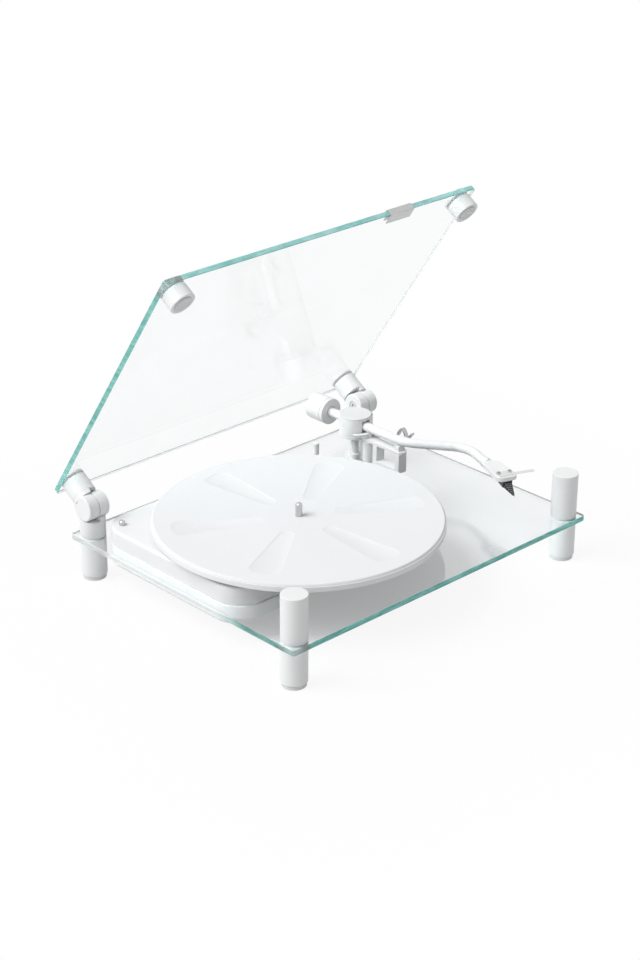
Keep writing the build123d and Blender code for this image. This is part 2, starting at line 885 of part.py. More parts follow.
def swivel_housing():
    """The round housing that swings the arm on its long pin, hollow and slotted front and back."""
    low, high = swivel_low, swivel_top - swivel_cap_t
    body = rod(swivel_d / 2, low, high, arm_x, arm_y)
    half_w, half_l = swivel_room_w / 2, swivel_room_l / 2
    body -= block(arm_x - half_w, arm_x + half_w, arm_y - half_l, arm_y + half_l,
                  swivel_room_low, high + over)
    tube_half = tube_r + slot_side_gap
    body -= block(arm_x - tube_half, arm_x + tube_half, arm_y - swivel_d, arm_y,
                  arm_axis - tube_r - slot_rise_gap, arm_axis + tube_r + slot_rise_gap)
    shaft_half = rear_shaft_d / 2 + slot_side_gap
    body -= block(arm_x - shaft_half, arm_x + shaft_half, arm_y, arm_y + swivel_d,
                  arm_axis - rear_shaft_d / 2 - slot_rise_gap, arm_axis + rear_shaft_d / 2 + slot_rise_gap)
    body -= rod_x(gimbal_pin_d / 2 + fit, arm_x - swivel_d, arm_x + swivel_d, arm_y, arm_axis)
    return body + rod(swivel_pin_d / 2, glass_top + swivel_pin_end_gap, swivel_room_low, arm_x, arm_y)


def swivel_cap():
    """The lid of the swivel housing."""
    cap = rod(swivel_d / 2, swivel_top - swivel_cap_t, swivel_top, arm_x, arm_y)
    return chamfer(level_edges(cap, swivel_top), plate_bevel)


def gimbal_pins():
    """The two short pins that the arm tilts on."""
    pins = []
    for _, side in sides:
        outer = arm_x + side * (swivel_d / 2 - clear)
        inner = arm_x + side * (carrier_d / 2 - gimbal_pin_bite)
        pins.append(rod_x(gimbal_pin_d / 2, min(outer, inner), max(outer, inner), arm_y, arm_axis))
    return pins


def arm_carrier():
    """The piece on the gimbal pins that joins the tube and the counterweight's shaft."""
    body = rod_y(carrier_d / 2, arm_y - carrier_l / 2, arm_y + carrier_l / 2, arm_x, arm_axis)
    body -= rod_y(tube_r, arm_y - carrier_l, arm_y - carrier_core_l / 2, arm_x, arm_axis)
    body -= rod_y(rear_shaft_d / 2, arm_y + carrier_core_l / 2, arm_y + carrier_l, arm_x, arm_axis)
    return body - rod_x(gimbal_pin_d / 2 + fit, arm_x - carrier_d, arm_x + carrier_d, arm_y, arm_axis)


# Arm tube
def headshell_frame():
    """The headshell's place: on the arm's axis over the stylus, facing along the headshell."""
    return Pos(stylus_x, stylus_y, 0) * Rot(0, 0, -headshell_yaw_angle)


def tube_points():
    """The corners of the tube's line: straight out, outwards, then in line with the headshell."""
    yaw, out = math.radians(headshell_yaw_angle), math.radians(tube_bend_angle)
    end = Vector(stylus_x, stylus_y, arm_axis) + Vector(math.sin(yaw), math.cos(yaw), 0) * headshell_reach
    start = Vector(arm_x, arm_y - carrier_core_l / 2, arm_axis)
    bend = Vector(arm_x, tube_straight_to, arm_axis)
    gap = end - bend
    run = (gap.X * math.cos(yaw) - gap.Y * math.sin(yaw)) / math.sin(out + yaw)
    return start, bend, bend + Vector(math.sin(out), -math.cos(out), 0) * run, end


def arm_tube():
    """The thin-walled tube, swept along its S-shaped line."""
    path = FilletPolyline(*tube_points(), radius=(tube_bend_out_r, tube_bend_back_r))
    section = Plane(path @ 0, z_dir=path % 0)
    outer = sweep(section * Circle(tube_r), path=path)
    return outer - sweep(section * Circle(tube_r - tube_wall), path=path)


def shell_rod(radius, near, far, z):
    """A round bar along the headshell, between two distances behind the stylus."""
    return headshell_frame() * rod_y(radius, near, far, 0, z)


def headshell_collar():
    """The locking collar on the end of the tube, with its small pin."""
    near, far = headshell_reach - shell_collar_l / 2, headshell_reach + shell_collar_l / 2
    collar = shell_rod(shell_collar_d / 2, near, far, arm_axis)
    pin_top = arm_axis + shell_collar_d / 2 + shell_pin_proud
    collar += headshell_frame() * rod(shell_pin_d / 2, arm_axis, pin_top, 0, (near + headshell_reach) / 2)
    collar -= shell_rod(tube_r, headshell_reach, far + over, arm_axis)
    return collar - shell_rod(shell_stem_d / 2, near - over, headshell_reach, arm_axis)


def shell_corners(width, y, radius, inset=0):
    """Two round corners of the headshell, as wide apart as its width, for a hull."""
    return [(side * (width / 2 - radius), y, radius - inset) for _, side in sides]


def headshell_outline():
    """The headshell from above: narrow at its root, then shoulders, then wider to its round nose."""
    back = headshell_reach - shell_collar_l / 2 - clear
    root = shell_corners(shell_root_w, back - shell_root_r, shell_root_r)
    shoulders = shell_corners(shell_shoulder_w, back - shell_shoulder_l, shell_shoulder_r)
    return hull(*root, *shoulders, *shell_corners(shell_w, back - shell_l + shell_nose_r, shell_nose_r))


def headshell_pocket():
    """The hollow under the headshell, which leaves a rim at its sides and nose."""
    back = headshell_reach - shell_collar_l / 2 - clear
    rear = back - shell_shoulder_l - shell_shoulder_r
    shoulders = shell_corners(shell_shoulder_w, rear, shell_shoulder_r, shell_rim_w)
    nose = shell_corners(shell_w, back - shell_l + shell_nose_r, shell_nose_r, shell_rim_w)
    return hull(*shoulders, *nose)


def cartridge_screw_places():
    """The two screws across the headshell, in the headshell's own frame."""
    return [(side * cartridge_pitch / 2, cartridge_screw_back) for _, side in sides]


def headshell():
    """The headshell, hollow below, with its stem and the cartridge's two screw holes."""
    plate = slab(headshell_outline(), shell_low, shell_top)
    plate -= slab(headshell_pocket(), shell_low - over, cartridge_top)
    for x, y in cartridge_screw_places():
        plate -= rod(cartridge_screw_d / 2 + fit, shell_low - over, shell_top + over, x, y)
    near = headshell_reach - shell_collar_l / 2 - shell_stem_l
    plate += rod_y(shell_stem_d / 2, near, headshell_reach, 0, arm_axis)
    return headshell_frame() * plate


def headshell_screws():
    """The two screws that hold the cartridge."""
    screws = []
    top = shell_top + lift_tab_t
    for x, y in cartridge_screw_places():
        screw = rod(cartridge_screw_d / 2, cartridge_low, top, x, y)
        screw += rod(cartridge_screw_head_d / 2, top, top + cartridge_screw_head_t, x, y)
        screws.append(headshell_frame() * screw)
    return screws


def finger_lift():
    """The thin tab that is clamped on the headshell and reaches out for a finger."""
    low, high = shell_top, shell_top + lift_tab_t
    half = lift_tab_w / 2
    front = cartridge_screw_back - lift_tab_base_l
    rows = (front, cartridge_screw_back)
    base = [(x, row, lift_tab_base_r) for x, _ in cartridge_screw_places() for row in rows]
    arm = hull((0, front, half), (lift_tab_reach, front - lift_tab_slant, half))
    tab = slab(hull(*base), low, high) + slab(arm, low, high)
    for x, y in cartridge_screw_places():
        tab -= rod(cartridge_screw_d / 2 + fit, low - over, high + over, x, y)
    return headshell_frame() * tab


def cartridge_body():
    """The cartridge: a flat top that screws on, and a narrower body that slants down below it."""
    low = cartridge_low
    front, back = cartridge_screw_back - cartridge_l / 2, cartridge_screw_back + cartridge_l / 2
    mount = block(-cartridge_w / 2, cartridge_w / 2, front, back, low, cartridge_top)
    mount = fillet(upright_edges(mount), cartridge_t / 2)
    for x, y in cartridge_screw_places():
        mount -= rod(cartridge_screw_d / 2 + fit, low - over, cartridge_top + over, x, y)
    heel = low - cartridge_body_drop * cartridge_heel_share
    toe = low - cartridge_body_drop * cartridge_toe_share
    side = Plane.YZ * make_face(Polyline((front, low), (back, low), (back, heel), (front, toe), close=True))
    return headshell_frame() * (mount + extrude(side, cartridge_body_w / 2, both=True))


def stylus():
    """The slanting stylus holder in front of the cartridge, with its cantilever and tip."""
    back = cartridge_screw_back - cartridge_l / 2
    height = cartridge_body_drop * stylus_root_share
    wide = Plane((0, back, cartridge_low - height / 2), x_dir=(1, 0, 0), z_dir=(0, -1, 0))
    nose_z = stylus_z + stylus_tip_gap + stylus_tip_h / 2
    narrow = Plane((0, stylus_nose, nose_z), x_dir=(1, 0, 0), z_dir=(0, -1, 0))
    holder = loft([wide * Rectangle(stylus_w, height), narrow * Rectangle(stylus_tip_w, stylus_tip_h)])
    shank = rod_y(cantilever_d / 2, -cantilever_d, stylus_nose + over, 0, stylus_z + cantilever_d)
    needle = Pos(0, 0, stylus_z) * Cone(0, cantilever_d / 4, cantilever_d, align=BASE)
    return headshell_frame() * (holder + shank + needle)


# Counterweight
def counterweight_shaft():
    """The shaft behind the carrier."""
    return rod_y(rear_shaft_d / 2, arm_y + carrier_core_l / 2, arm_y + rear_shaft_l, arm_x, arm_axis)


def weight_bore():
    """The hole through the counterweight and its dial."""
    back = arm_y + weight_front + weight_l
    return rod_y(rear_shaft_d / 2 + weight_bore_clearance, arm_y + weight_front - over, back - weight_end_t,
                 arm_x, arm_axis)


def counterweight():
    """The drum that balances the arm."""
    front = arm_y + weight_front + dial_ring_l + dial_groove
    back = arm_y + weight_front + weight_l
    drum = rod_y(weight_d / 2, front, back, arm_x, arm_axis)
    drum = chamfer(drum.edges().filter_by(GeomType.CIRCLE), weight_bevel)
    drum += rod_y(weight_neck_d / 2, front - dial_groove, front, arm_x, arm_axis)
    return drum - weight_bore()


def dial_ring():
    """The ring in front of the drum, sunk a little round the shaft."""
    front = arm_y + weight_front
    dial = rod_y(weight_d / 2, front, front + dial_ring_l, arm_x, arm_axis)
    dial = chamfer(dial.edges().filter_by(GeomType.CIRCLE), plate_bevel)
    sunk = rod_y(dial_recess_d / 2, front - over, front + dial_recess_depth, arm_x, arm_axis)
    return dial - sunk - weight_bore()


# Arm board, lift and rest
def arm_board():
    """The plate under the swivel that carries the lift, the rest and the lever's lug."""
    plate = rod(board_arm_d / 2, board_arm_low, board_arm_top, arm_x, arm_y)
    half = board_arm_w / 2
    end = arm_y - board_arm_l
    plate += slab(hull((arm_x, arm_y, half), (arm_x, end + half, half)), board_arm_low, board_arm_top)
    plate -= rod(swivel_pin_d / 2 + clear, board_arm_low - over, board_arm_top + over, arm_x, arm_y)
    plate -= rod(lift_rod_d / 2 + fit, board_arm_low - over, board_arm_top + over, arm_x, lift_y)
    lug_half, pin_y = lever_hub_d / 2, lever_pin_y
    left, right = arm_x + half - over, arm_x + lever_x - clear
    lug = block(left, right, pin_y - lug_half, pin_y + lug_half, board_arm_low, board_arm_low + lever_hub_d)
    crown = [edge for edge in upright_edges(lug, Axis.X) if edge.center().Z > board_arm_top]
    lug = fillet(crown, lug_half / 2)
    return plate + lug - rod_x(lever_pin_d / 2, arm_x + half, arm_x + lever_x, pin_y, lever_pin_z)


def lift_damper():
    """The cueing lift's cylinder, hung under the board and bored for the lift's rod."""
    low = board_arm_low - lift_damper_h
    body = rod(lift_damper_d / 2, low, board_arm_low, arm_x, lift_y)
    body = chamfer(level_edges(body, low), column_bevel)
    depth = board_arm_low - lift_rod_in - clear
    return body - rod(lift_rod_d / 2 + fit, depth, board_arm_low + over, arm_x, lift_y)


def lift_bar():
    """The curved bar under the tube, with the rod that lifts it."""
    inner, outer = lift_at - lift_bar_w / 2, lift_at + lift_bar_w / 2
    spread = lift_bar_before_angle + lift_bar_after_angle
    start = ahead_angle - lift_bar_after_angle
    arcs = [CenterArc((0, 0), radius, start, spread) for radius in (inner, outer)]
    ends = [Line(arcs[0] @ i, arcs[1] @ i) for i in (0, 1)]
    bar = slab(make_face(arcs + ends), lift_bar_top - lift_bar_t, lift_bar_top, arm_x, arm_y)
    return bar + rod(lift_rod_d / 2, board_arm_low - lift_rod_in, lift_bar_top - lift_bar_t, arm_x, lift_y)


def lift_frame():
    """The open frame under the board: two legs and a foot."""
    near, far = arm_y - frame_near, arm_y - frame_far
    half = board_arm_w / 2
    low = board_arm_low - frame_h
    loop = block(arm_x - half, arm_x + half, far, near, low, board_arm_low)
    under = [edge for edge in upright_edges(loop, Axis.X) if edge.center().Z < low + fit]
    loop = fillet(under, plate_corner_r / 2)
    window = block(arm_x - column_d, arm_x + column_d, far + frame_leg_l, near - frame_leg_l,
                   low + frame_foot_h, board_arm_low + over)
    return loop - window


def arm_rest():
    """The rest under the tube, with a lip on the side away from the platter."""
    y = arm_y - rest_at
    left, right = arm_x - rest_w / 2, arm_x + rest_w / 2
    seat = arm_axis - tube_r - rest_gap
    foot = block(left + rest_lip_w, right - rest_lip_w, y - rest_l / 2, y + rest_l / 2, board_arm_top, seat)
    lip_in = arm_x + tube_r + rest_lip_gap
    lip = block(lip_in, lip_in + rest_lip_w, y - rest_l / 2, y + rest_l / 2, board_arm_top + board_arm_t,
                seat + rest_lip_h)
    link = block(right - rest_lip_w - over, lip_in + over, y - rest_l / 2, y + rest_l / 2,
                 board_arm_top + board_arm_t, seat - board_arm_t / 2)
    return foot + lip + link


# Cueing lever
def lever_line():
    """The lever's bent line in its own plane, as distance from the arm's axis and height."""
    crest = (arm_y - lever_crest_at, lever_pin_z + lever_crest_rise)
    dip = (arm_y - lever_dip_at, lever_pin_z + lever_dip_rise)
    tip = (arm_y - lever_tip_at, lever_pin_z + lever_tip_rise)
    knee = ((lever_pin_y + crest[0]) / 2, lever_pin_z + lever_rise)
    return Spline((lever_pin_y, lever_pin_z), knee, crest, dip, tip)


def cue_lever():
    """The bent strip that raises the lift, on a round hub."""
    left = arm_x + lever_x
    strip = Plane.YZ * trace(lever_line(), lever_t)
    lever = Pos(left, 0, 0) * extrude(strip, lever_w)
    lever += rod_x(lever_hub_d / 2, left, left + lever_w, lever_pin_y, lever_pin_z)
    bore = rod_x(lever_pin_d / 2 + fit, left - over, left + lever_w + over, lever_pin_y, lever_pin_z)
    return lever - bore


def cue_lever_pin():
    """The pin of the cueing lever, with a head outside the hub."""
    left, right = arm_x + board_arm_w / 2, arm_x + lever_x + lever_w + clear
    pin = rod_x(lever_pin_d / 2, left, right, lever_pin_y, lever_pin_z)
    return pin + rod_x(lever_pin_head_d / 2, right, right + lever_pin_head_t, lever_pin_y, lever_pin_z)


def rear_peg():
    """The small peg near the rear edge of the glass."""
    peg = rod(peg_d / 2, glass_top, glass_top + peg_h, peg_x, peg_y)
    return chamfer(level_edges(peg, glass_top + peg_h), peg_bevel)


# Nodes, each with its solids; those of the lid are swung open
def lid_nodes():
    """The pieces that turn with the lid."""
    pieces = {
        "lid_glass": lid_glass(),
        "left_lid_leg": lid_leg(-1),
        "right_lid_leg": lid_leg(1),
        "lid_bumpers": lid_bumpers(),
        "bumper_pads": bumper_pads(),
        "lid_caps": lid_caps(),
        "lid_gaskets": lid_gaskets(),
        "lid_handle": lid_handle(),
    }
    return {name: [opened(solid) for solid in as_list(piece)] for name, piece in pieces.items()}


def fixed_and_moving_nodes():
    """Every piece but the lid's."""
    makers = (base_glass, front_posts, lower_legs, rubber_feet, column_studs, column_gaskets,
              hinge_pins, hinge_washers, platter, platter_mat, sub_platter, spindle, bearing_housing,
              thrust_ball, clamp_nuts, drive_belt, motor_pulley, motor_shaft, motor, upper_housing,
              lower_housing, housing_screws, circuit_board, speed_knob, speed_switch, phono_sockets,
              power_inlet, arm_column, swivel_housing, swivel_cap, gimbal_pins, arm_carrier,
              arm_tube, headshell_collar, headshell, headshell_screws, finger_lift, cartridge_body,
              stylus, counterweight_shaft, counterweight, dial_ring, arm_board, lift_damper, lift_bar,
              lift_frame, arm_rest, cue_lever, cue_lever_pin, rear_peg)
    nodes = {maker.__name__: maker() for maker in makers}
    for name, side in sides:
        nodes["rear_" + name + "_post"] = hinge_post(side)
    return nodes


def as_list(piece):
    """One solid or several, as a list."""
    return piece if isinstance(piece, list) else [piece]


def main():
    """Builds every node, centres the object on its box and writes the files."""
    nodes = {name: as_list(piece) for name, piece in fixed_and_moving_nodes().items()}
    nodes.update(lid_nodes())
    box = Compound(children=[solid for solids in nodes.values() for solid in solids]).bounding_box()
    shift = Pos(-box.center().X, -box.center().Y, 0)
    os.makedirs("parts", exist_ok=True)
    for name, solids in nodes.items():
        placed = Compound(children=[shift * solid for solid in solids])
        placed.label = name
        export_step(placed, os.path.join("parts", name + ".step"))
    print("nodes", len(nodes), "shift", round(-box.center().X, 4), round(-box.center().Y, 4))
    print("size", [round(v, 2) for v in (box.size.X, box.size.Y, box.size.Z)])
    print("arm axis", arm_axis, "mat", mat_top, "swivel", swivel_low, swivel_top, "lid", lid_low)
    print("lever", arm_x + lever_x, lever_pin_y, lever_pin_z, "belt", belt_mid)


main()
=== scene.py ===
"""The looks of a glass turntable with an open glass lid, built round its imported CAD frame."""
from __future__ import annotations

import json
import logging
import math
from dataclasses import dataclass
from enum import Enum, IntEnum
from typing import Callable, Iterable, Sequence, Union

import bmesh
import bpy
from mathutils import Matrix, Vector

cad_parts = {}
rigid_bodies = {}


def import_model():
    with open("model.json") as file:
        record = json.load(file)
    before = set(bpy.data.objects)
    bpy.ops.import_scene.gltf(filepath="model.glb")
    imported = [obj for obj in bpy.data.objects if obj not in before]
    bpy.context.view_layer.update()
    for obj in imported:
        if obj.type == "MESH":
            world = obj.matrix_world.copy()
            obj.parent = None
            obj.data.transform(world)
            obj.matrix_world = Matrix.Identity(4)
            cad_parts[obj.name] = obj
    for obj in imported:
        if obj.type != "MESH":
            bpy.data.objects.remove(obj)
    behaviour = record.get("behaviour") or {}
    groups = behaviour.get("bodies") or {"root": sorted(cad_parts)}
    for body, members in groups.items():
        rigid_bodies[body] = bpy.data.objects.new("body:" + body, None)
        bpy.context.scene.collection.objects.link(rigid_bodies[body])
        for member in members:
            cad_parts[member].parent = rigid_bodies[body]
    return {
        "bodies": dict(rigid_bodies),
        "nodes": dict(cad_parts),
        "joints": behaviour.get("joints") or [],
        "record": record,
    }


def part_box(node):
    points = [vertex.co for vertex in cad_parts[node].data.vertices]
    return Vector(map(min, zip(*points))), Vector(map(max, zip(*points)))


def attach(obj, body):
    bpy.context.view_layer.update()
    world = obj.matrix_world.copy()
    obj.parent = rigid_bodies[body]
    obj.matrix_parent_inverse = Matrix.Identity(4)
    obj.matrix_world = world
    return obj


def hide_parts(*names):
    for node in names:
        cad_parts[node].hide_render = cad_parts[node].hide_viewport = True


log = logging.getLogger("turntable")
MM = 0.001
Colour = tuple[float, float, float]
Point = tuple[float, float, float]
Profile = Sequence[tuple[float, float]]
EdgeTest = Callable[[bmesh.types.BMEdge], bool]


# Shader maths
class Wire:
    """A value in a material, on which Python's operators add Math nodes."""

    def __init__(self, bench: "Bench", socket: bpy.types.NodeSocket) -> None:
        """Keeps the socket and the bench that its nodes are made on."""
        self.bench, self.socket = bench, socket

    def maths(self, operation: str, *terms: "Term") -> "Wire":
        """The value of one Math node with these inputs."""
        return self.bench.node("ShaderNodeMath", {"operation": operation}, dict(enumerate(terms)), "Value")

    def __add__(self, other: "Term") -> "Wire":
        """self + other."""
        return self.maths("ADD", self, other)

    def __sub__(self, other: "Term") -> "Wire":
        """self - other."""
        return self.maths("SUBTRACT", self, other)

    def __rsub__(self, other: "Term") -> "Wire":
        """other - self."""
        return self.maths("SUBTRACT", other, self)

    def __mul__(self, other: "Term") -> "Wire":
        """self * other."""
        return self.maths("MULTIPLY", self, other)

    __radd__, __rmul__ = __add__, __mul__

    def above(self, level: float, spread: float) -> "Wire":
        """A smooth step from 0 to 1.

        Args:
            level: Where the step is halfway.
            spread: How far it reaches to each side.

        Returns:
            The step's value.
        """
        return self.bench.node(
            "ShaderNodeMapRange", {"interpolation_type": "SMOOTHSTEP"},
            {"Value": self, "From Min": level - spread, "From Max": level + spread}, "Result")


Term = Union[Wire, float]


class Grain(Enum):
    """The way along which a metal is brushed."""

    ALONG_X = (0.02, 1.0, 1.0)
    ALONG_Y = (1.0, 0.02, 1.0)
    ALONG_Z = (1.0, 1.0, 0.02)


class Axis(Enum):
    """The axis that a turned piece was turned about, as what is left of a point off it."""

    X = (0.0, 1.0, 1.0)
    Y = (1.0, 0.0, 1.0)
    Z = (1.0, 1.0, 0.0)


class Bench:
    """The node tree of one material, or of the world."""

    def __init__(self, name: str, holder: bpy.types.ID = None,
                 out: str = "ShaderNodeOutputMaterial") -> None:
        """Starts an empty tree.

        Args:
            name: The name of the material.
            holder: What has the tree, where it isn't a new material.
            out: The type of the output node.
        """
        self.holder = holder or bpy.data.materials.new(name)
        self.holder.use_nodes = True
        self.tree = self.holder.node_tree
        self.tree.nodes.clear()
        self.out = self.tree.nodes.new(out)

    def node(self, kind: str, settings: dict, sockets: dict, output: Union[str, int] = 0) -> Wire:
        """Adds a node of any type.

        Args:
            kind: The node's type.
            settings: Its settings, which are set first.
            sockets: Its inputs by name or place, each a value or a wire.
            output: The output that is wanted, by name or place.

        Returns:
            That output.
        """
        made = self.tree.nodes.new(kind)
        for name, value in settings.items():
            setattr(made, name, value)
        for key, value in sockets.items():
            if isinstance(value, Wire):
                self.tree.links.new(value.socket, made.inputs[key])
            elif isinstance(value, tuple) and made.inputs[key].type == "RGBA":
                made.inputs[key].default_value = (*value, 1.0)
            else:
                made.inputs[key].default_value = value
        return Wire(self, made.outputs[output])

    def place(self, centre: Sequence[float] = (0, 0, 0), scale: Sequence[float] = (1, 1, 1)) -> Wire:
        """The object's own coordinates, in metres.

        Args:
            centre: The point, in metres, that becomes the pattern's middle.
            scale: The stretch of each axis.

        Returns:
            The mapped coordinates.
        """
        here = self.node("ShaderNodeTexCoord", {}, {}, "Object")
        moved = tuple(-c * s for c, s in zip(centre, scale))
        return self.node("ShaderNodeMapping", {}, {"Vector": here, "Location": moved, "Scale": tuple(scale)})

    def part(self, where: Wire, axis: int) -> Wire:
        """One of a vector's three numbers."""
        return self.node("ShaderNodeSeparateXYZ", {}, {0: where}, axis)

    def ray(self, kind: str) -> Wire:
        """1 for the rays of a kind, or a ray's depth."""
        return self.node("ShaderNodeLightPath", {}, {}, kind)

    def noise(self, where: Wire, scale: float, detail: float = 2.0, rough: float = 0.5) -> Wire:
        """Soft cloudy noise from 0 to 1, with a number of features per metre."""
        return self.node("ShaderNodeTexNoise", {},
                         {"Vector": where, "Scale": scale, "Detail": detail, "Roughness": rough})

    def rings(self, centre: Sequence[float], axis: Axis, scale: float) -> Wire:
        """Irregular rings round an axis, as a lathe leaves them.

        Args:
            centre: A point on the axis, in metres.
            axis: The axis.
            scale: Rings per metre of radius.

        Returns:
            A value from 0 to 1.
        """
        radius = self.node("ShaderNodeVectorMath", {"operation": "LENGTH"},
                           {0: self.place(centre, axis.value)}, "Value")
        return self.node("ShaderNodeTexNoise", {"noise_dimensions": "1D"},
                         {"W": radius, "Scale": scale, "Detail": 3.0})

    def mix(self, share: Term, first: Union[Wire, Colour], second: Union[Wire, Colour]) -> Wire:
        """A colour between two colours."""
        return self.node("ShaderNodeMix", {"data_type": "RGBA"}, {0: share, 6: first, 7: second}, 2)

    def bump(self, height: Wire, depth_mm: float, strength: float = 1.0) -> Wire:
        """The normal of a surface with that relief, of a depth in millimetres."""
        return self.node("ShaderNodeBump", {},
                         {"Height": height, "Distance": depth_mm * MM, "Strength": strength}, "Normal")

    def surface(self, colour: Wire, rough: Term, **more: Term) -> Wire:
        """A Principled shader.

        Args:
            colour: Its colour.
            rough: Its roughness.
            more: Its other inputs, with _ for the spaces in their names.

        Returns:
            The shader.
        """
        sockets = {name.replace("_", " "): value for name, value in more.items()}
        return self.node("ShaderNodeBsdfPrincipled", {},
                         {"Base Color": colour, "Roughness": rough, **sockets}, "BSDF")

    def skin(self, share: Term, colours: Sequence[Colour], rough: Term, **more: Term) -> bpy.types.Material:
        """The finished material of an opaque surface.

        Args:
            share: How far the first colour goes over into the second.
            colours: The two colours.
            rough: Its roughness.
            more: The shader's other inputs, with _ for the spaces in their names.

        Returns:
            The material.
        """
        return self.close(self.surface(self.mix(share, *colours), rough, **more))

    def glow(self, kind: str, strength: float = 1.0) -> Wire:
        """A white Emission or Background shader."""
        return self.node(kind, {}, {"Color": (1.0, 1.0, 1.0), "Strength": strength})

    def blend(self, share: Term, first: Wire, second: Wire) -> Wire:
        """A shader between two shaders."""
        return self.node("ShaderNodeMixShader", {}, {0: share, 1: first, 2: second})

    def lit_through(self, glass: Wire, colour: Colour) -> bpy.types.Material:
        """Glass that lamps shine through.

        Args:
            glass: The glass's shader, for every ray but those towards a lamp.
            colour: The light that it lets through.

        Returns:
            The material.
        """
        clear = self.node("ShaderNodeBsdfTransparent", {}, {"Color": colour})
        return self.close(self.blend(self.ray("Is Shadow Ray"), glass, clear))

    def close(self, shader: Wire) -> bpy.types.ID:
        """Joins the shader to the output and returns the tree's holder."""
        self.tree.links.new(shader.socket, self.out.inputs["Surface"])
        return self.holder


def toned(colour: Colour, by: float, lift: float = 0.0) -> Colour:
    """A colour made darker or paler."""
    return tuple(min(1.0, c * by + lift) for c in colour)


# Finishes
@dataclass(frozen=True)
class SatinPaint:
    """A smooth satin paint over metal, with a faint peel."""

    name: str
    colour: Colour = (0.86, 0.865, 0.87)
    gloss: float = 0.42

    def material(self) -> bpy.types.Material:
        """The paint, a little uneven in colour and gloss, with a peel 0.7 mm across.

        Returns:
            The material.
        """
        bench = Bench(self.name)
        here = bench.place()
        return bench.skin(
            bench.noise(here, 28.0, 3.0).above(0.5, 0.22), (self.colour, toned(self.colour, 0.972)),
            bench.noise(here, 240.0, 3.0) * 0.10 + (self.gloss - 0.05),
            Normal=bench.bump(bench.noise(here, 1500.0, 2.0), 0.012, 0.6), IOR=1.5)


@dataclass(frozen=True)
class PlatterPaint:
    """Satin paint on a turned disc, with the turning just showing through."""

    name: str
    centre: Point
    colour: Colour = (0.86, 0.865, 0.875)

    def material(self) -> bpy.types.Material:
        """The paint with faint rings about the disc's axis.

        Returns:
            The material.
        """
        bench = Bench(self.name)
        here = bench.place()
        rings = bench.rings(self.centre, Axis.Z, 900.0)
        peel = bench.noise(here, 1300.0, 2.0)
        return bench.skin(
            bench.noise(here, 20.0, 2.0).above(0.5, 0.2), (self.colour, toned(self.colour, 0.975)),
            rings * 0.14 + 0.33, Normal=bench.bump(rings * 0.5 + peel * 0.5, 0.016, 0.6), IOR=1.5)


@dataclass(frozen=True)
class MatRubber:
    """The platter mat's soft matt skin, with a fine grain and faint moulding rings."""

    name: str
    centre: Point
    colour: Colour = (0.85, 0.855, 0.87)

    def material(self) -> bpy.types.Material:
        """The skin, grained at a third of a millimetre.

        Returns:
            The material.
        """
        bench = Bench(self.name)
        here = bench.place()
        grain = bench.noise(here, 3200.0, 2.0, 0.6)
        rings = bench.rings(self.centre, Axis.Z, 420.0)
        dust = bench.noise(here, 90.0, 5.0, 0.65).above(0.66, 0.10)
        return bench.skin(
            grain.above(0.5, 0.3) * 0.6 + dust * 0.4, (self.colour, toned(self.colour, 0.965)),
            grain * 0.12 + 0.58, Normal=bench.bump(grain * 0.8 + rings * 0.2, 0.03, 0.5), IOR=1.48)


@dataclass(frozen=True)
class TurnedMetal:
    """Bright metal with the fine rings of a lathe."""

    name: str
    centre: Point
    axis: Axis
    colour: Colour = (0.62, 0.62, 0.63)
    gloss: float = 0.22

    def material(self) -> bpy.types.Material:
        """The metal, its rings a fifth of a millimetre apart, with a few dull spots.

        Returns:
            The material.
        """
        bench = Bench(self.name)
        rings = bench.rings(self.centre, self.axis, 5200.0)
        spots = bench.noise(bench.place(), 420.0, 4.0, 0.6)
        return bench.skin(
            rings.above(0.5, 0.3), (self.colour, toned(self.colour, 0.86)),
            rings * 0.12 + spots * 0.10 + (self.gloss - 0.08),
            Metallic=1.0, Normal=bench.bump(rings, 0.01, 0.5))


@dataclass(frozen=True)
class BrushedMetal:
    """Metal brushed in one direction."""

    name: str
    grain: Grain
    colour: Colour = (0.60, 0.605, 0.61)
    gloss: float = 0.36

    def material(self) -> bpy.types.Material:
        """The metal, with streaks fifty times as long as they are wide.

        Returns:
            The material.
        """
        bench = Bench(self.name)
        here = bench.place(scale=self.grain.value)
        streaks, broad = bench.noise(here, 4200.0, 3.0, 0.6), bench.noise(here, 700.0, 2.0)
        return bench.skin(
            streaks.above(0.52, 0.2), (self.colour, toned(self.colour, 0.84)),
            streaks * 0.16 + broad * 0.08 + (self.gloss - 0.12),
            Metallic=1.0, Normal=bench.bump(streaks, 0.014, 0.6))


@dataclass(frozen=True)
class SoftRubber:
    """Matt rubber with a fine skin."""

    name: str
    colour: Colour
    gloss: float = 0.68

    def material(self) -> bpy.types.Material:
        """The rubber, mottled and lightly scuffed.

        Returns:
            The material.
        """
        bench = Bench(self.name)
        here = bench.place()
        skin = bench.noise(here, 2600.0, 3.0, 0.6)
        return bench.skin(
            bench.noise(here, 160.0, 4.0, 0.6).above(0.6, 0.12),
            (self.colour, toned(self.colour, 1.06, 0.012)),
            skin * 0.16 + (self.gloss - 0.06),
            Normal=bench.bump(skin, 0.03, 0.6), IOR=1.5)


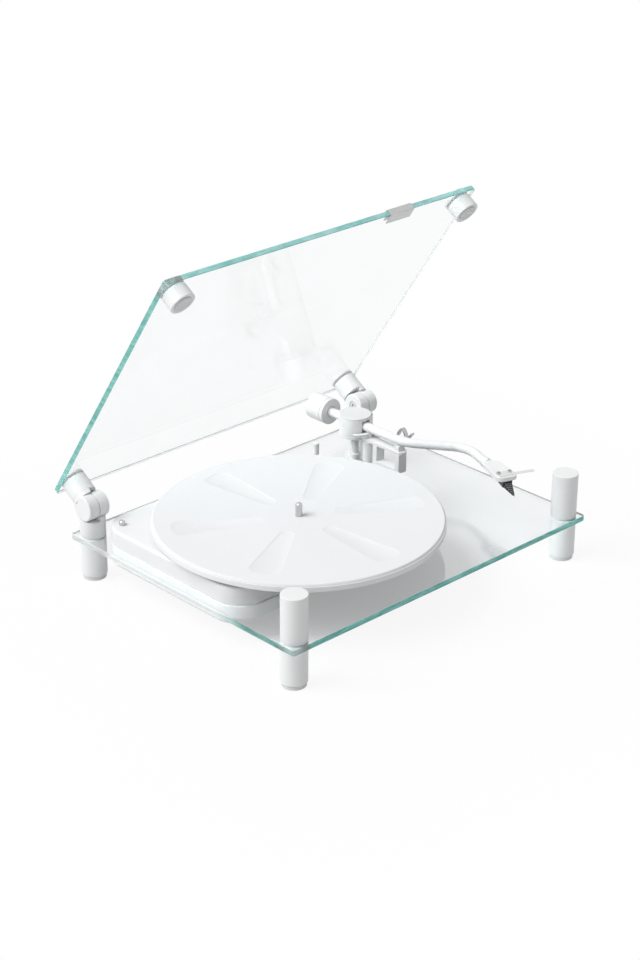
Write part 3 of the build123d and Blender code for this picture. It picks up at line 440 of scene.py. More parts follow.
@dataclass(frozen=True)
class MouldedPlastic:
    """Plastic from an eroded mould: a fine even texture."""

    name: str
    colour: Colour = (0.865, 0.87, 0.875)
    gloss: float = 0.46

    def material(self) -> bpy.types.Material:
        """The plastic, with half-millimetre cells and a cloudy gloss.

        Returns:
            The material.
        """
        bench = Bench(self.name)
        here = bench.place()
        cells = bench.node("ShaderNodeTexVoronoi", {"feature": "SMOOTH_F1"},
                           {"Vector": here, "Scale": 1900.0})
        cloud = bench.noise(here, 34.0, 3.0)
        return bench.skin(
            cloud.above(0.5, 0.2) * 0.7 + cells * 0.3, (self.colour, toned(self.colour, 0.97)),
            cloud * 0.10 + cells * 0.06 + (self.gloss - 0.08), Normal=bench.bump(cells, 0.02, 0.5), IOR=1.5)


@dataclass(frozen=True)
class GlossPlastic:
    """Dark polished plastic with fine hairlines."""

    name: str
    colour: Colour

    def material(self) -> bpy.types.Material:
        """The plastic, glossier where it hasn't been handled.

        Returns:
            The material.
        """
        bench = Bench(self.name)
        hairs = bench.noise(bench.place(scale=(1.0, 0.06, 1.0)), 2600.0, 3.0)
        handled = bench.noise(bench.place(), 130.0, 3.0)
        return bench.skin(
            handled.above(0.58, 0.2) * 0.5, (self.colour, toned(self.colour, 1.5, 0.01)),
            handled * 0.16 + 0.10, Coat_Weight=0.4, Coat_Roughness=0.08,
            Normal=bench.bump(hairs, 0.006, 0.4), IOR=1.5)


@dataclass(frozen=True)
class RibbedPlastic:
    """Black plastic with fine pale ribs across it."""

    name: str
    centre: Point
    colour: Colour = (0.010, 0.010, 0.012)

    def material(self) -> bpy.types.Material:
        """The plastic, its ribs about two millimetres apart.

        Returns:
            The material.
        """
        bench = Bench(self.name)
        ribs = bench.node(
            "ShaderNodeTexWave", {"bands_direction": "DIAGONAL"},
            {"Vector": bench.place(self.centre), "Scale": 150.0, "Distortion": 0.6, "Detail": 1.0}, "Fac")
        return bench.skin(
            ribs.above(0.80, 0.15), (self.colour, toned(self.colour, 1.0, 0.16)),
            ribs * 0.2 + 0.16, Normal=bench.bump(ribs, 0.05, 0.6), IOR=1.5)


@dataclass(frozen=True)
class Lacquer:
    """A circuit board's green lacquer over its copper."""

    name: str
    colour: Colour = (0.03, 0.17, 0.08)

    def material(self) -> bpy.types.Material:
        """The lacquer, paler over the tracks.

        Returns:
            The material.
        """
        bench = Bench(self.name)
        tracks = bench.node("ShaderNodeTexBrick", {"offset": 0.37},
                            {"Vector": bench.place(), "Scale": 90.0, "Mortar Size": 0.05}, "Fac")
        return bench.skin(tracks, (self.colour, toned(self.colour, 1.8, 0.02)), tracks * 0.1 + 0.3,
                          Normal=bench.bump(tracks, 0.03, 0.5))


@dataclass(frozen=True)
class FloatGlass:
    """Clear float glass, seen through its faces."""

    name: str
    colour: Colour = (0.955, 0.968, 0.972)
    bend: float = 1.5

    def material(self) -> bpy.types.Material:
        """The glass, with faint cloudy wiping marks; lamps pass through it.

        Returns:
            The material.
        """
        bench = Bench(self.name)
        marks = bench.noise(bench.place(), 14.0, 4.0, 0.6)
        colour = bench.mix(marks.above(0.55, 0.2), self.colour, toned(self.colour, 0.988))
        glass = bench.surface(colour, marks.above(0.62, 0.12) * 0.02,
                              Transmission_Weight=1.0, IOR=self.bend)
        return bench.lit_through(glass, (0.93, 0.955, 0.95))


@dataclass(frozen=True)
class GlassRim:
    """The ground and polished rim of a glass sheet, where its own green shows, with painted light and shade
    that differ from stretch to stretch.
    """

    name: str
    deep: Colour = (0.10, 0.42, 0.39)
    pale: Colour = (0.46, 0.84, 0.80)
    clearness: float = 0.40
    fade_from: float = 9.0
    fade_reach: float = 0.02

    def material(self) -> bpy.types.Material:
        """The rim, streaked along its length, and nearly clear behind the place where it fades; the fade is
        painted light, not a change in the glass.

        Returns:
            The material.
        """
        bench = Bench(self.name)
        streaks = bench.noise(bench.place(scale=(1.0, 1.0, 5.0)), 45.0, 4.0, 0.65)
        fine = bench.noise(bench.place(scale=(1.0, 1.0, 8.0)), 420.0, 3.0)
        share = (streaks * 0.7 + fine * 0.3).above(0.50, 0.13)
        green = bench.surface(bench.mix(share, self.deep, self.pale), fine * 0.18 + 0.06, IOR=1.5,
                              Transmission_Weight=self.clearness, Normal=bench.bump(fine, 0.02, 0.4))
        clear = bench.surface(bench.mix(share, (0.86, 0.89, 0.89), (0.95, 0.97, 0.97)), fine * 0.10 + 0.10,
                              IOR=1.2, Transmission_Weight=0.35)
        # painted light: past fade_from along y the green rim goes over into a nearly clear, pale copy
        faded = bench.part(bench.place(), 1).above(self.fade_from, self.fade_reach)
        return bench.lit_through(bench.blend(faded, green, clear), (0.70, 0.86, 0.84))


# Shapes
class Form:
    """A mesh in the making, in millimetres."""

    def __init__(self) -> None:
        """Starts with nothing."""
        self.mesh = bmesh.new()

    def lathe(self, profile: Profile, steps: int = 96, ring: bool = False) -> "Form":
        """Spins a profile about Z.

        Args:
            profile: Points of radius and height, in order.
            steps: The number of facets round it.
            ring: Whether the profile closes on itself, off the axis.

        Returns:
            This form.
        """
        points = [self.mesh.verts.new((radius, 0, height)) for radius, height in profile]
        pairs = list(zip(points, points[1:])) + ([(points[-1], points[0])] if ring else [])
        edges = [self.mesh.edges.new(pair) for pair in pairs]
        bmesh.ops.spin(self.mesh, geom=points + edges, cent=(0, 0, 0), axis=(0, 0, 1), angle=math.tau,
                       steps=steps, use_merge=True)
        return self.close_up()

    def rod(self, radius: float, low: float, high: float, steps: int = 96, bore: float = 0.0) -> "Form":
        """A round bar about Z, or a tube where it has a bore.

        Args:
            radius: Its radius.
            low: Its lower height.
            high: Its upper height.
            steps: The number of facets round it.
            bore: The radius of its bore.

        Returns:
            This form.
        """
        return self.lathe([(bore, low), (radius, low), (radius, high), (bore, high)], steps, bore > 0)

    def close_up(self) -> "Form":
        """Merges doubles and turns the faces outwards.

        Returns:
            This form.
        """
        bmesh.ops.remove_doubles(self.mesh, verts=self.mesh.verts, dist=0.001)
        bmesh.ops.recalc_face_normals(self.mesh, faces=self.mesh.faces)
        return self

    def draw_out(self, geometry: list, by: Sequence[float]) -> list:
        """Moves what an extrusion made, and returns it without its faces.

        Args:
            geometry: What the extrusion gave.
            by: The way along x, y and z.

        Returns:
            Its new points and edges.
        """
        new = [g for g in geometry if not isinstance(g, bmesh.types.BMFace)]
        bmesh.ops.translate(self.mesh, verts=[g for g in new if isinstance(g, bmesh.types.BMVert)], vec=by)
        return new

    def extrude(self, *by: float) -> "Form":
        """Draws every face out by x, y and z into a closed block.

        Args:
            by: The way along x, y and z.

        Returns:
            This form.
        """
        self.draw_out(bmesh.ops.extrude_face_region(self.mesh, geom=list(self.mesh.faces))["geom"], by)
        bmesh.ops.recalc_face_normals(self.mesh, faces=self.mesh.faces)
        return self

    def prism(self, outline: Iterable[Sequence[float]], *by: float) -> "Form":
        """A flat outline, drawn out by x, y and z into a closed block."""
        self.mesh.faces.new([self.mesh.verts.new(point) for point in outline])
        return self.extrude(*by)

    def slab(self, size: Sequence[float], corner: float, low: float, high: float,
             segments: int = 10) -> "Form":
        """A rounded rectangle about the axis, raised between two heights.

        Args:
            size: Its width and depth.
            corner: The radius of its corners.
            low: Its lower height.
            high: Its upper height.
            segments: The facets of each corner.

        Returns:
            This form.
        """
        across, along = size[0] / 2, size[1] / 2
        places = ((-across, -along), (across, -along), (across, along), (-across, along))
        corners = [self.mesh.verts.new((x, y, low)) for x, y in places]
        self.mesh.faces.new(corners)
        return self.bevel(corners, corner, segments, affect="VERTICES").extrude(0, 0, high - low)

    def hull(self, circles: Iterable[Point], low: float, high: float, segments: int = 64) -> "Form":
        """The shape of a cord pulled round circles, raised between two heights.

        Args:
            circles: Each circle's x, y and radius.
            low: The lower height.
            high: The upper height.
            segments: The facets of a full circle.

        Returns:
            This form.
        """
        turns = [math.tau * i / segments for i in range(segments)]
        points = sorted((x + radius * math.cos(a), y + radius * math.sin(a))
                        for x, y, radius in circles for a in turns)
        outline = self.outer_side(points) + self.outer_side(points[::-1])
        return self.prism([(x, y, low) for x, y in outline], 0, 0, high - low)

    @staticmethod
    def outer_side(points: Profile) -> list[tuple[float, float]]:
        """The outer side of sorted points, from the first up to the last but one.

        Args:
            points: Points of x and y, sorted along x.

        Returns:
            The points of a convex line along one side.
        """
        line: list[tuple[float, float]] = []
        for x, y in points:
            while len(line) > 1:
                (ax, ay), (bx, by) = line[-2], line[-1]
                if (bx - ax) * (y - ay) - (by - ay) * (x - ax) > 1e-6:
                    break
                line.pop()
            line.append((x, y))
        return line[:-1]

    def flatten(self) -> "Form":
        """Joins faces that lie in one plane.

        Returns:
            This form.
        """
        bmesh.ops.dissolve_limit(self.mesh, angle_limit=math.radians(0.4), verts=self.mesh.verts,
                                 edges=self.mesh.edges)
        return self

    def bevel(self, chosen: list, width: float, segments: int, **settings: Union[str, bool]) -> "Form":
        """Bevels the chosen edges or points.

        Args:
            chosen: The edges or points.
            width: The bevel's width.
            segments: Its facets.
            settings: The operator's other settings.

        Returns:
            This form.
        """
        bmesh.ops.bevel(self.mesh, geom=chosen, offset=width, offset_type="OFFSET", segments=segments,
                        profile=0.5, material=-1, **{"affect": "EDGES", **settings})
        return self

    def soften(self, width: float, segments: int = 2, only: EdgeTest = None, least: float = 30.0) -> "Form":
        """Bevels the sharp edges.

        Args:
            width: The bevel's width.
            segments: Its facets.
            only: A test that an edge has to pass.
            least: The angle, in degrees, from which an edge is sharp.

        Returns:
            This form.
        """
        sharp = [e for e in self.mesh.edges if len(e.link_faces) == 2
                 and e.calc_face_angle() > math.radians(least) and (only is None or only(e))]
        return self.bevel(sharp, width, segments, clamp_overlap=True)

    def at(self, *places: Matrix) -> "Form":
        """Repeats the form at each of these places, in place of where it is.

        Args:
            places: The places.

        Returns:
            This form.
        """
        source = bpy.data.meshes.new("pattern")
        self.mesh.to_mesh(source)
        self.mesh.clear()
        for place in places:
            copy = source.copy()
            copy.transform(place)
            self.take(copy)
        bpy.data.meshes.remove(source)
        return self

    def take(self, mesh: bpy.types.Mesh) -> None:
        """Adds a mesh to the form and removes it elsewhere."""
        self.mesh.from_mesh(mesh)
        bpy.data.meshes.remove(mesh)

    def join(self, other: "Form") -> "Form":
        """Takes in another form's mesh.

        Args:
            other: The other form.

        Returns:
            This form.
        """
        taken = bpy.data.meshes.new("taken")
        other.mesh.to_mesh(taken)
        self.take(taken)
        return self

    def cut(self, tool: "Form") -> "Form":
        """Takes another form away from this one.

        Args:
            tool: The other form.

        Returns:
            This form.
        """
        block, cutter = self.loose("block"), tool.loose("cutter")
        step = block.modifiers.new("cut", "BOOLEAN")
        step.operation, step.solver, step.object = "DIFFERENCE", "EXACT", cutter
        bpy.context.view_layer.update()
        cut = bpy.data.meshes.new_from_object(block.evaluated_get(bpy.context.evaluated_depsgraph_get()))
        for used in (cutter, block):
            bpy.data.objects.remove(used)
        self.mesh.clear()
        self.take(cut)
        return self

    def loose(self, name: str) -> bpy.types.Object:
        """This form as an object of its own, for a step of the work.

        Args:
            name: The object's name.

        Returns:
            The object.
        """
        mesh = bpy.data.meshes.new(name)
        self.mesh.to_mesh(mesh)
        return add(name, mesh)


def over(height: float) -> EdgeTest:
    """A test for the edges above a height."""
    return lambda edge: min(v.co.z for v in edge.verts) > height


def under(height: float) -> EdgeTest:
    """A test for the edges below a height."""
    return lambda edge: max(v.co.z for v in edge.verts) < height


def beyond(radius: float, height: float = math.inf) -> EdgeTest:
    """A test for the edges outside a radius, and below a height."""
    return lambda edge: min(v.co.xy.length for v in edge.verts) > radius and edge.verts[0].co.z < height


def shift(x: float = 0, y: float = 0, z: float = 0) -> Matrix:
    """A move, in millimetres."""
    return Matrix.Translation((x, y, z))


def turn(degrees: float, axis: str) -> Matrix:
    """A turn about one of the axes."""
    return Matrix.Rotation(math.radians(degrees), 4, axis)


def add(name: str, data: bpy.types.ID) -> bpy.types.Object:
    """A new object of the scene that shows this data.

    Args:
        name: Its name.
        data: The data.

    Returns:
        The object.
    """
    made = bpy.data.objects.new(name, data)
    bpy.context.scene.collection.objects.link(made)
    return made


LIE_ALONG_Y = turn(-90, "X")
HERE = Matrix.Identity(4)
TO_METRES = Matrix.Diagonal((MM, MM, MM, 1))


class Workshop:
    """Where finished pieces are put in the frame."""

    def __init__(self, frame: dict) -> None:
        self.nodes, record = frame["nodes"], frame["record"]
        self.body = {node: body for body, group in record["behaviour"]["bodies"].items() for node in group}
        self.slot = {part["node"]: part["material_slot"] for part in record["subparts"]}
        low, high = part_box("base_glass")
        middle = (low + high) / 2
        self.home = Matrix.Translation((middle.x, middle.y, 0)) @ TO_METRES
        self.materials: dict[str, bpy.types.Material] = {}

    def point(self, x: float, y: float, z: float = 0.0) -> Point:
        """A point of the drawing, in millimetres, as metres in the frame."""
        return tuple(self.home @ Vector((x, y, z)))

    def finish(self, kind: object) -> bpy.types.Material:
        """The material of a finish, made once.

        Args:
            kind: The finish.

        Returns:
            The material.
        """
        if kind.name not in self.materials:
            self.materials[kind.name] = kind.material()
        return self.materials[kind.name]

    def put(self, form: Form, name: str, node: str, place: Matrix, *finishes: object,
            even: bool = True) -> None:
        """Finishes a form as the piece that stands for a node.

        Args:
            form: The form, in millimetres.
            name: The piece's name.
            node: The node that it stands for.
            place: Its place in the drawing.
            finishes: Its finishes, in the order of its face's material numbers.
            even: Whether its flat faces are shaded evenly beside its bevels.
        """
        piece = self.show(form, name, node, self.home @ place, finishes)
        if even:
            self.even(piece)

    def show(self, form: Form, name: str, node: str, place: Matrix,
             finishes: Sequence[object]) -> bpy.types.Object:
        """Makes a form the piece that stands for a node.

        Args:
            form: The form, which is used up.
            name: The piece's name.
            node: The node that it stands for.
            place: Its place in the frame.
            finishes: Its finishes.

        Returns:
            The piece.
        """
        mesh = bpy.data.meshes.new(name)
        form.mesh.to_mesh(mesh)
        form.mesh.free()
        mesh.transform(place)
        mesh.shade_smooth()
        mesh.set_sharp_from_angle(angle=math.radians(32))
        for kind in finishes:
            mesh.materials.append(self.finish(kind))
        piece = add(name, mesh)
        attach(piece, self.body[node])
        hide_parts(node)
        log.info("%s stands for %s: %d faces", name, node, len(mesh.polygons))
        return piece

    def refine(self, node: str, width: float, kind: object, segments: int = 2, least: float = 34.0,
               edge: object = None) -> None:
        """Gives a node's own shape smooth faces and soft edges.

        Args:
            node: The node.
            width: The bevel on its edges, in millimetres.
            kind: Its finish.
            segments: The bevel's facets.
            least: The angle from which an edge is bevelled.
            edge: The finish of the bevels, if it is another.
        """
        form = Form()
        form.mesh.from_mesh(self.nodes[node].data)
        bmesh.ops.scale(form.mesh, vec=(1 / MM,) * 3, verts=form.mesh.verts)
        bmesh.ops.remove_doubles(form.mesh, verts=form.mesh.verts, dist=0.002)
        piece = self.show(form.flatten(), node + "_fine", node, TO_METRES, [kind, edge] if edge else [kind])
        if width:
            step = piece.modifiers.new("soft edges", "BEVEL")
            step.width, step.segments, step.limit_method = width * MM, segments, "ANGLE"
            step.angle_limit, step.use_clamp_overlap = math.radians(least), True
            step.material = 1 if edge else -1
            self.even(piece)

    def even(self, piece: bpy.types.Object) -> None:
        """Shades a piece's flat faces evenly beside its bevels."""
        piece.modifiers.new("even shading", "WEIGHTED_NORMAL").keep_sharp = True

    def coat(self, kind: object, *nodes: str) -> None:
        """Puts a finish on nodes that stay as they are.

        Args:
            kind: The finish.
            nodes: The nodes.
        """
        for node in nodes:
            mesh = self.nodes[node].data
            mesh.materials.clear()
            mesh.materials.append(self.finish(kind))
            log.info("%s keeps its shape", node)


# Shared finishes
WHITE = SatinPaint("white_satin")
WHITE_LID = SatinPaint("white_satin_lid", gloss=0.40)
WHITE_ARM = SatinPaint("white_satin_arm", (0.87, 0.873, 0.878), 0.34)
SHELL = MouldedPlastic("white_shell")
STEEL_Z = BrushedMetal("plain_steel", Grain.ALONG_Z, (0.58, 0.58, 0.59), 0.30)
GASKET = SoftRubber("gasket_rubber", (0.90, 0.91, 0.91), 0.5)
DARK = MouldedPlastic("dark_plastic", (0.045, 0.046, 0.05), 0.5)

# Places that several sub-assemblies share, in millimetres of the drawing
COLUMN = (193.5, 150.5)
COLUMN_RADIUS = 13.5
PLATTER_AXIS = (-54.0, -9.0)
HUB_RADIUS = 62.0
ARM_AXIS = (131.0, 97.0)
ARM_HEIGHT = 93.4
SHEET = 6.0
BASE_LOW = 42.6
LID_LOW = 114.0
PAST = 2.0


def corners(rows: Sequence[int] = (-1, 1)) -> list[Matrix]:
    """The columns' places, the front row's (-1) and the rear row's (1), left before right."""
    return [shift(side * COLUMN[0], row * COLUMN[1]) for row in rows for side in (-1, 1)]


class Rim(IntEnum):
    """The stretches of a sheet's rim, by the numbers of their finishes; each stretch has its own painted
    light or shade, and one is a painted dark line of shade.
    """

    FRONT, LEFT, REST, LINE, CORNER = range(1, 6)


@dataclass
class Glass:
    """The base and the lid: two equal sheets, bevelled and drilled."""

    size: tuple[float, float] = (420.0, 334.0)
    gap: float = 0.03
    corner: float = 4.0
    bevel: float = 0.6
    stud_hole: float = 4.0
    spindle_hole: float = 12.5
    arm_hole: float = 4.3
    housing: tuple[float, float] = (-140.8, 32.85)
    cut_out: tuple[float, float] = (107.6, 210.1)
    cut_corner: float = 31.0
    fade: float = -88.0
    beside_column: float = 4.0

    def sheet(self, low: float, *holes: tuple[Matrix, float]) -> Form:
        """One sheet, with the columns' holes.

        Args:
            low: The height of its lower face.
            holes: The place and radius of each further hole.

        Returns:
            The sheet.
        """
        form = Form().slab(self.size, self.corner, low + self.gap, low + SHEET - self.gap)
        form.soften(self.bevel, 1)
        for place, radius in [(corner, self.stud_hole) for corner in corners()] + list(holes):
            form.cut(Form().rod(radius, low - PAST, low + SHEET + PAST, 40).at(place))
        return form

    def rimmed(self, form: Form, dark_right: bool = False) -> Form:
        """Numbers the faces of a sheet's rim for its finishes, so that each stretch gets its own painted
        light or shade.

        Args:
            form: The sheet.
            dark_right: Whether the right edge gets the painted dark line of shade over its whole height.

        Returns:
            The sheet.
        """
        form.flatten()
        near = [place - self.beside_column for place in COLUMN]
        for way, at in ((Vector((1, 0, 0)), -near[0]), (Vector((0, 1, 0)), -near[1])):
            everything = form.mesh.verts[:] + form.mesh.edges[:] + form.mesh.faces[:]
            bmesh.ops.bisect_plane(form.mesh, geom=everything, dist=0.001, plane_co=way * at, plane_no=way)
        for face in form.mesh.faces:
            if abs(face.normal.z) <= 0.95:
                face.material_index = self.stretch(face.calc_center_median(), face.normal, near, dark_right)
        return form

    def stretch(self, middle: Vector, way: Vector, near: Sequence[float], dark_right: bool) -> Rim:
        """The stretch of the rim to which a face belongs.

        Args:
            middle: The face's middle.
            way: The way in which it looks.
            near: How far from the axes the corners begin.
            dark_right: Whether the right edge gets the painted dark line of shade over its whole height.

        Returns:
            The stretch; the dark line along the rear and right edges is painted shade.
        """
        if abs(middle.x) < self.size[0] / 2 - 1.0 and abs(middle.y) < self.size[1] / 2 - 1.0:
            return Rim.REST
        if middle.x < -near[0] and middle.y < -near[1]:
            return Rim.CORNER
        if way.y < -0.3 or way.x < -0.3:
            return Rim.FRONT if way.y < -0.3 else Rim.LEFT
        # painted shade: the dark line goes on the upper rear bevel, and where dark_right is set, on the upper
        # right bevel and the whole right edge
        line = way.z > 0.3 and (way.y > 0.3 or dark_right)
        return Rim.LINE if line or (dark_right and way.x > 0.9) else Rim.REST

    def build(self, shop: Workshop, lid: Matrix) -> None:
        """Makes both sheets.

        Args:
            shop: The workshop.
            lid: The turn that opens the lid.
        """
        base = self.sheet(BASE_LOW, (shift(*PLATTER_AXIS), self.spindle_hole),
                          (shift(*ARM_AXIS), self.arm_hole))
        opening = Form().slab(self.cut_out, self.cut_corner, BASE_LOW - PAST, BASE_LOW + SHEET + PAST, 16)
        base.cut(opening.at(shift(*self.housing)))
        # painted light and shade: each stretch of rim gets its own copy of the rim finish, brighter or darker
        # by how it catches the light; the grey copy is the painted dark line of shade
        shared = [GlassRim("faint_rim", fade_from=-9.0),
                  GlassRim("painted_shade_rim", (0.30, 0.29, 0.30), (0.46, 0.44, 0.45), 0.1),
                  GlassRim("corner_rim", (0.42, 0.70, 0.66), (0.80, 0.96, 0.94), 0.6)]
        shop.put(self.rimmed(base, True), "base_sheet", "base_glass", HERE, FloatGlass("clear_glass"),
                 GlassRim("green_rim", (0.08, 0.56, 0.50), (0.38, 0.98, 0.92), 0.3),
                 GlassRim("fading_rim", (0.07, 0.33, 0.29), (0.34, 0.68, 0.62), 0.4, self.fade * MM, 0.022),
                 *shared, even=False)
        # the lid's stretches of rim are painted light and shade in the same way
        shop.put(self.rimmed(self.sheet(LID_LOW)), "lid_sheet", "lid_glass", lid,
                 FloatGlass("clear_lid_glass", bend=1.2),
                 GlassRim("bright_rim", (0.25, 0.68, 0.64), (0.52, 0.93, 0.90), 0.15),
                 GlassRim("green_lid_rim", (0.14, 0.62, 0.55), (0.40, 0.92, 0.86)), *shared, even=False)


@dataclass
class Rings:
    """The soft rings below and above a sheet at its columns."""

    radius: float = 13.45
    hole: float = 4.0
    thick: float = 0.6
    gap: float = 0.03

    def build(self, shop: Workshop, sheet_low: float, name: str, node: str, place: Matrix) -> None:
        """Makes a sheet's rings.

        Args:
            shop: The workshop.
            sheet_low: The height of the sheet's lower face.
            name: The piece's name.
            node: The node that it stands for.
            place: Its place.
        """
        ring = Form().rod(self.radius, self.gap, self.thick - self.gap, 72, self.hole).soften(0.1)
        heights = (sheet_low - self.thick, sheet_low + SHEET)
        ring.at(*[corner @ shift(z=z) for corner in corners() for z in heights])
        shop.put(ring, name, node, place, GASKET, even=False)


@dataclass
class Columns:
    """The posts, legs, feet and soft rings that hold the base sheet."""

    foot_radius: float = 12.3
    foot_height: float = 4.6
    leg_top: float = 42.0
    post_low: float = 49.2
    post_top: float = 97.6
    edge: float = 0.7
    seat_edge: float = 0.2

    def build(self, shop: Workshop) -> None:
        """Makes the turned columns and their rings.

        Args:
            shop: The workshop.
        """
        posts = Form().rod(COLUMN_RADIUS, self.post_low, self.post_top)
        posts.soften(self.edge, 3, over(self.post_top - 0.1))
        posts.soften(self.seat_edge, 2, under(self.post_low + 0.1))
        shop.put(posts.at(*corners((-1,))), "front_posts_turned", "front_posts", HERE, WHITE)
        legs = Form().rod(COLUMN_RADIUS, self.foot_height, self.leg_top)
        legs.soften(self.edge, 3, under(self.foot_height + 0.1))
        legs.soften(self.seat_edge, 2, over(self.leg_top - 0.1))
        shop.put(legs.at(*corners()), "lower_legs_turned", "lower_legs", HERE, WHITE)
        feet = Form().rod(self.foot_radius, 0.0, self.foot_height).soften(self.edge, 3, under(1.0))
        shop.put(feet.at(*corners()), "feet_moulded", "rubber_feet", HERE,
                 SoftRubber("foot_rubber", (0.74, 0.745, 0.75)))
        Rings().build(shop, BASE_LOW, "column_rings", "column_gaskets", HERE)
        shop.coat(STEEL_Z, "column_studs")


@dataclass
class Lid:
    """What is fixed to the lid's sheet, drawn closed."""

    bumper_low: float = 98.7
    bumper_top: float = 113.4
    pad_radius: float = 9.5
    pad_drop: float = 0.8
    stem: float = 3.0
    stem_low: float = 101.4
    cap_radius: float = 13.32
    cap_low: float = 120.6
    cap_top: float = 122.55
    clip_middle: float = 100.0
    clip_width: float = 34.0
    clip_reach: float = 13.0
    clip_thick: float = 1.1
    clip_fold: float = 1.6
    sheet_front: float = -167.0
    edge: float = 0.7

    def bumper(self) -> Form:
        """A bumper, with a groove near its rim and a seat for the pad.

        Returns:
            The bumper.
        """
        r, low, top, pad = COLUMN_RADIUS, self.bumper_low, self.bumper_top, self.pad_radius
        form = Form().lathe([(0, top), (r, top), (r, low), (pad + 2.0, low), (pad + 0.6, low + 0.5),
                             (pad + 0.3, low + 0.5), (pad + 0.3, low + 0.6), (0, low + 0.6)])
        return form.soften(self.edge, 3, beyond(r - 0.2, low + 0.1)).soften(0.2, 2, over(top - 0.1))

    def pad(self) -> Form:
        """A soft pad, dished in the middle.

        Returns:
            The pad.
        """
        low, pad = self.bumper_low - self.pad_drop, self.pad_radius
        return Form().lathe([(0, low + 0.35), (pad - 3.2, low + 0.35), (pad - 2.6, low), (pad, low),
                             (pad, low + 1.4), (0, low + 1.4)], 72).soften(0.3)

    def cap(self) -> Form:
        """An outer cap and the stem that passes through the sheet.

        Returns:
            The cap.
        """
        r, low, top, stem = self.cap_radius, self.cap_low, self.cap_top, self.stem
        form = Form().lathe([(0, top), (r, top), (r, low), (stem, low), (stem, self.stem_low),
                             (0, self.stem_low)])
        return form.soften(self.edge, 3, over(top - 0.1))

    def clip(self) -> Form:
        """The metal strip folded over the sheet's front edge.

        Returns:
            The strip.
        """
        t, low, top = self.clip_thick, LID_LOW, LID_LOW + SHEET
        front, left = self.sheet_front - t, self.clip_middle - self.clip_width / 2
        back = front + self.clip_reach
        outline = ((back, low - t), (front, low - t), (front, top + t), (back, top + t),
                   (back, top), (front + t, top), (front + t, low), (back, low))
        form = Form().prism([(left, y, z) for y, z in outline], self.clip_width, 0, 0).close_up()
        folds = [e for e in form.mesh.edges if all(abs(v.co.y - front) < 0.01 for v in e.verts)
                 and abs(e.verts[0].co.x - e.verts[1].co.x) > 1]
        return form.bevel(folds, self.clip_fold, 6).soften(0.2, least=50.0)

    def build(self, shop: Workshop, lid: Matrix) -> None:
        """Makes the lid's fittings.

        Args:
            shop: The workshop.
            lid: The turn that opens the lid.
        """
        front = corners((-1,))
        pad = SoftRubber("pad_rubber", (0.72, 0.725, 0.73), 0.6)
        brushed = BrushedMetal("brushed_clip", Grain.ALONG_X, (0.56, 0.565, 0.565), 0.34)
        shop.put(self.bumper().at(*front), "bumpers_turned", "lid_bumpers", lid, WHITE_LID)
        shop.put(self.pad().at(*front), "pads_moulded", "bumper_pads", lid, pad)
        shop.put(self.cap().at(*corners()), "caps_turned", "lid_caps", lid, WHITE_LID)
        shop.put(self.clip(), "folded_clip", "lid_handle", lid, brushed)
        Rings().build(shop, LID_LOW, "lid_rings", "lid_gaskets", lid)


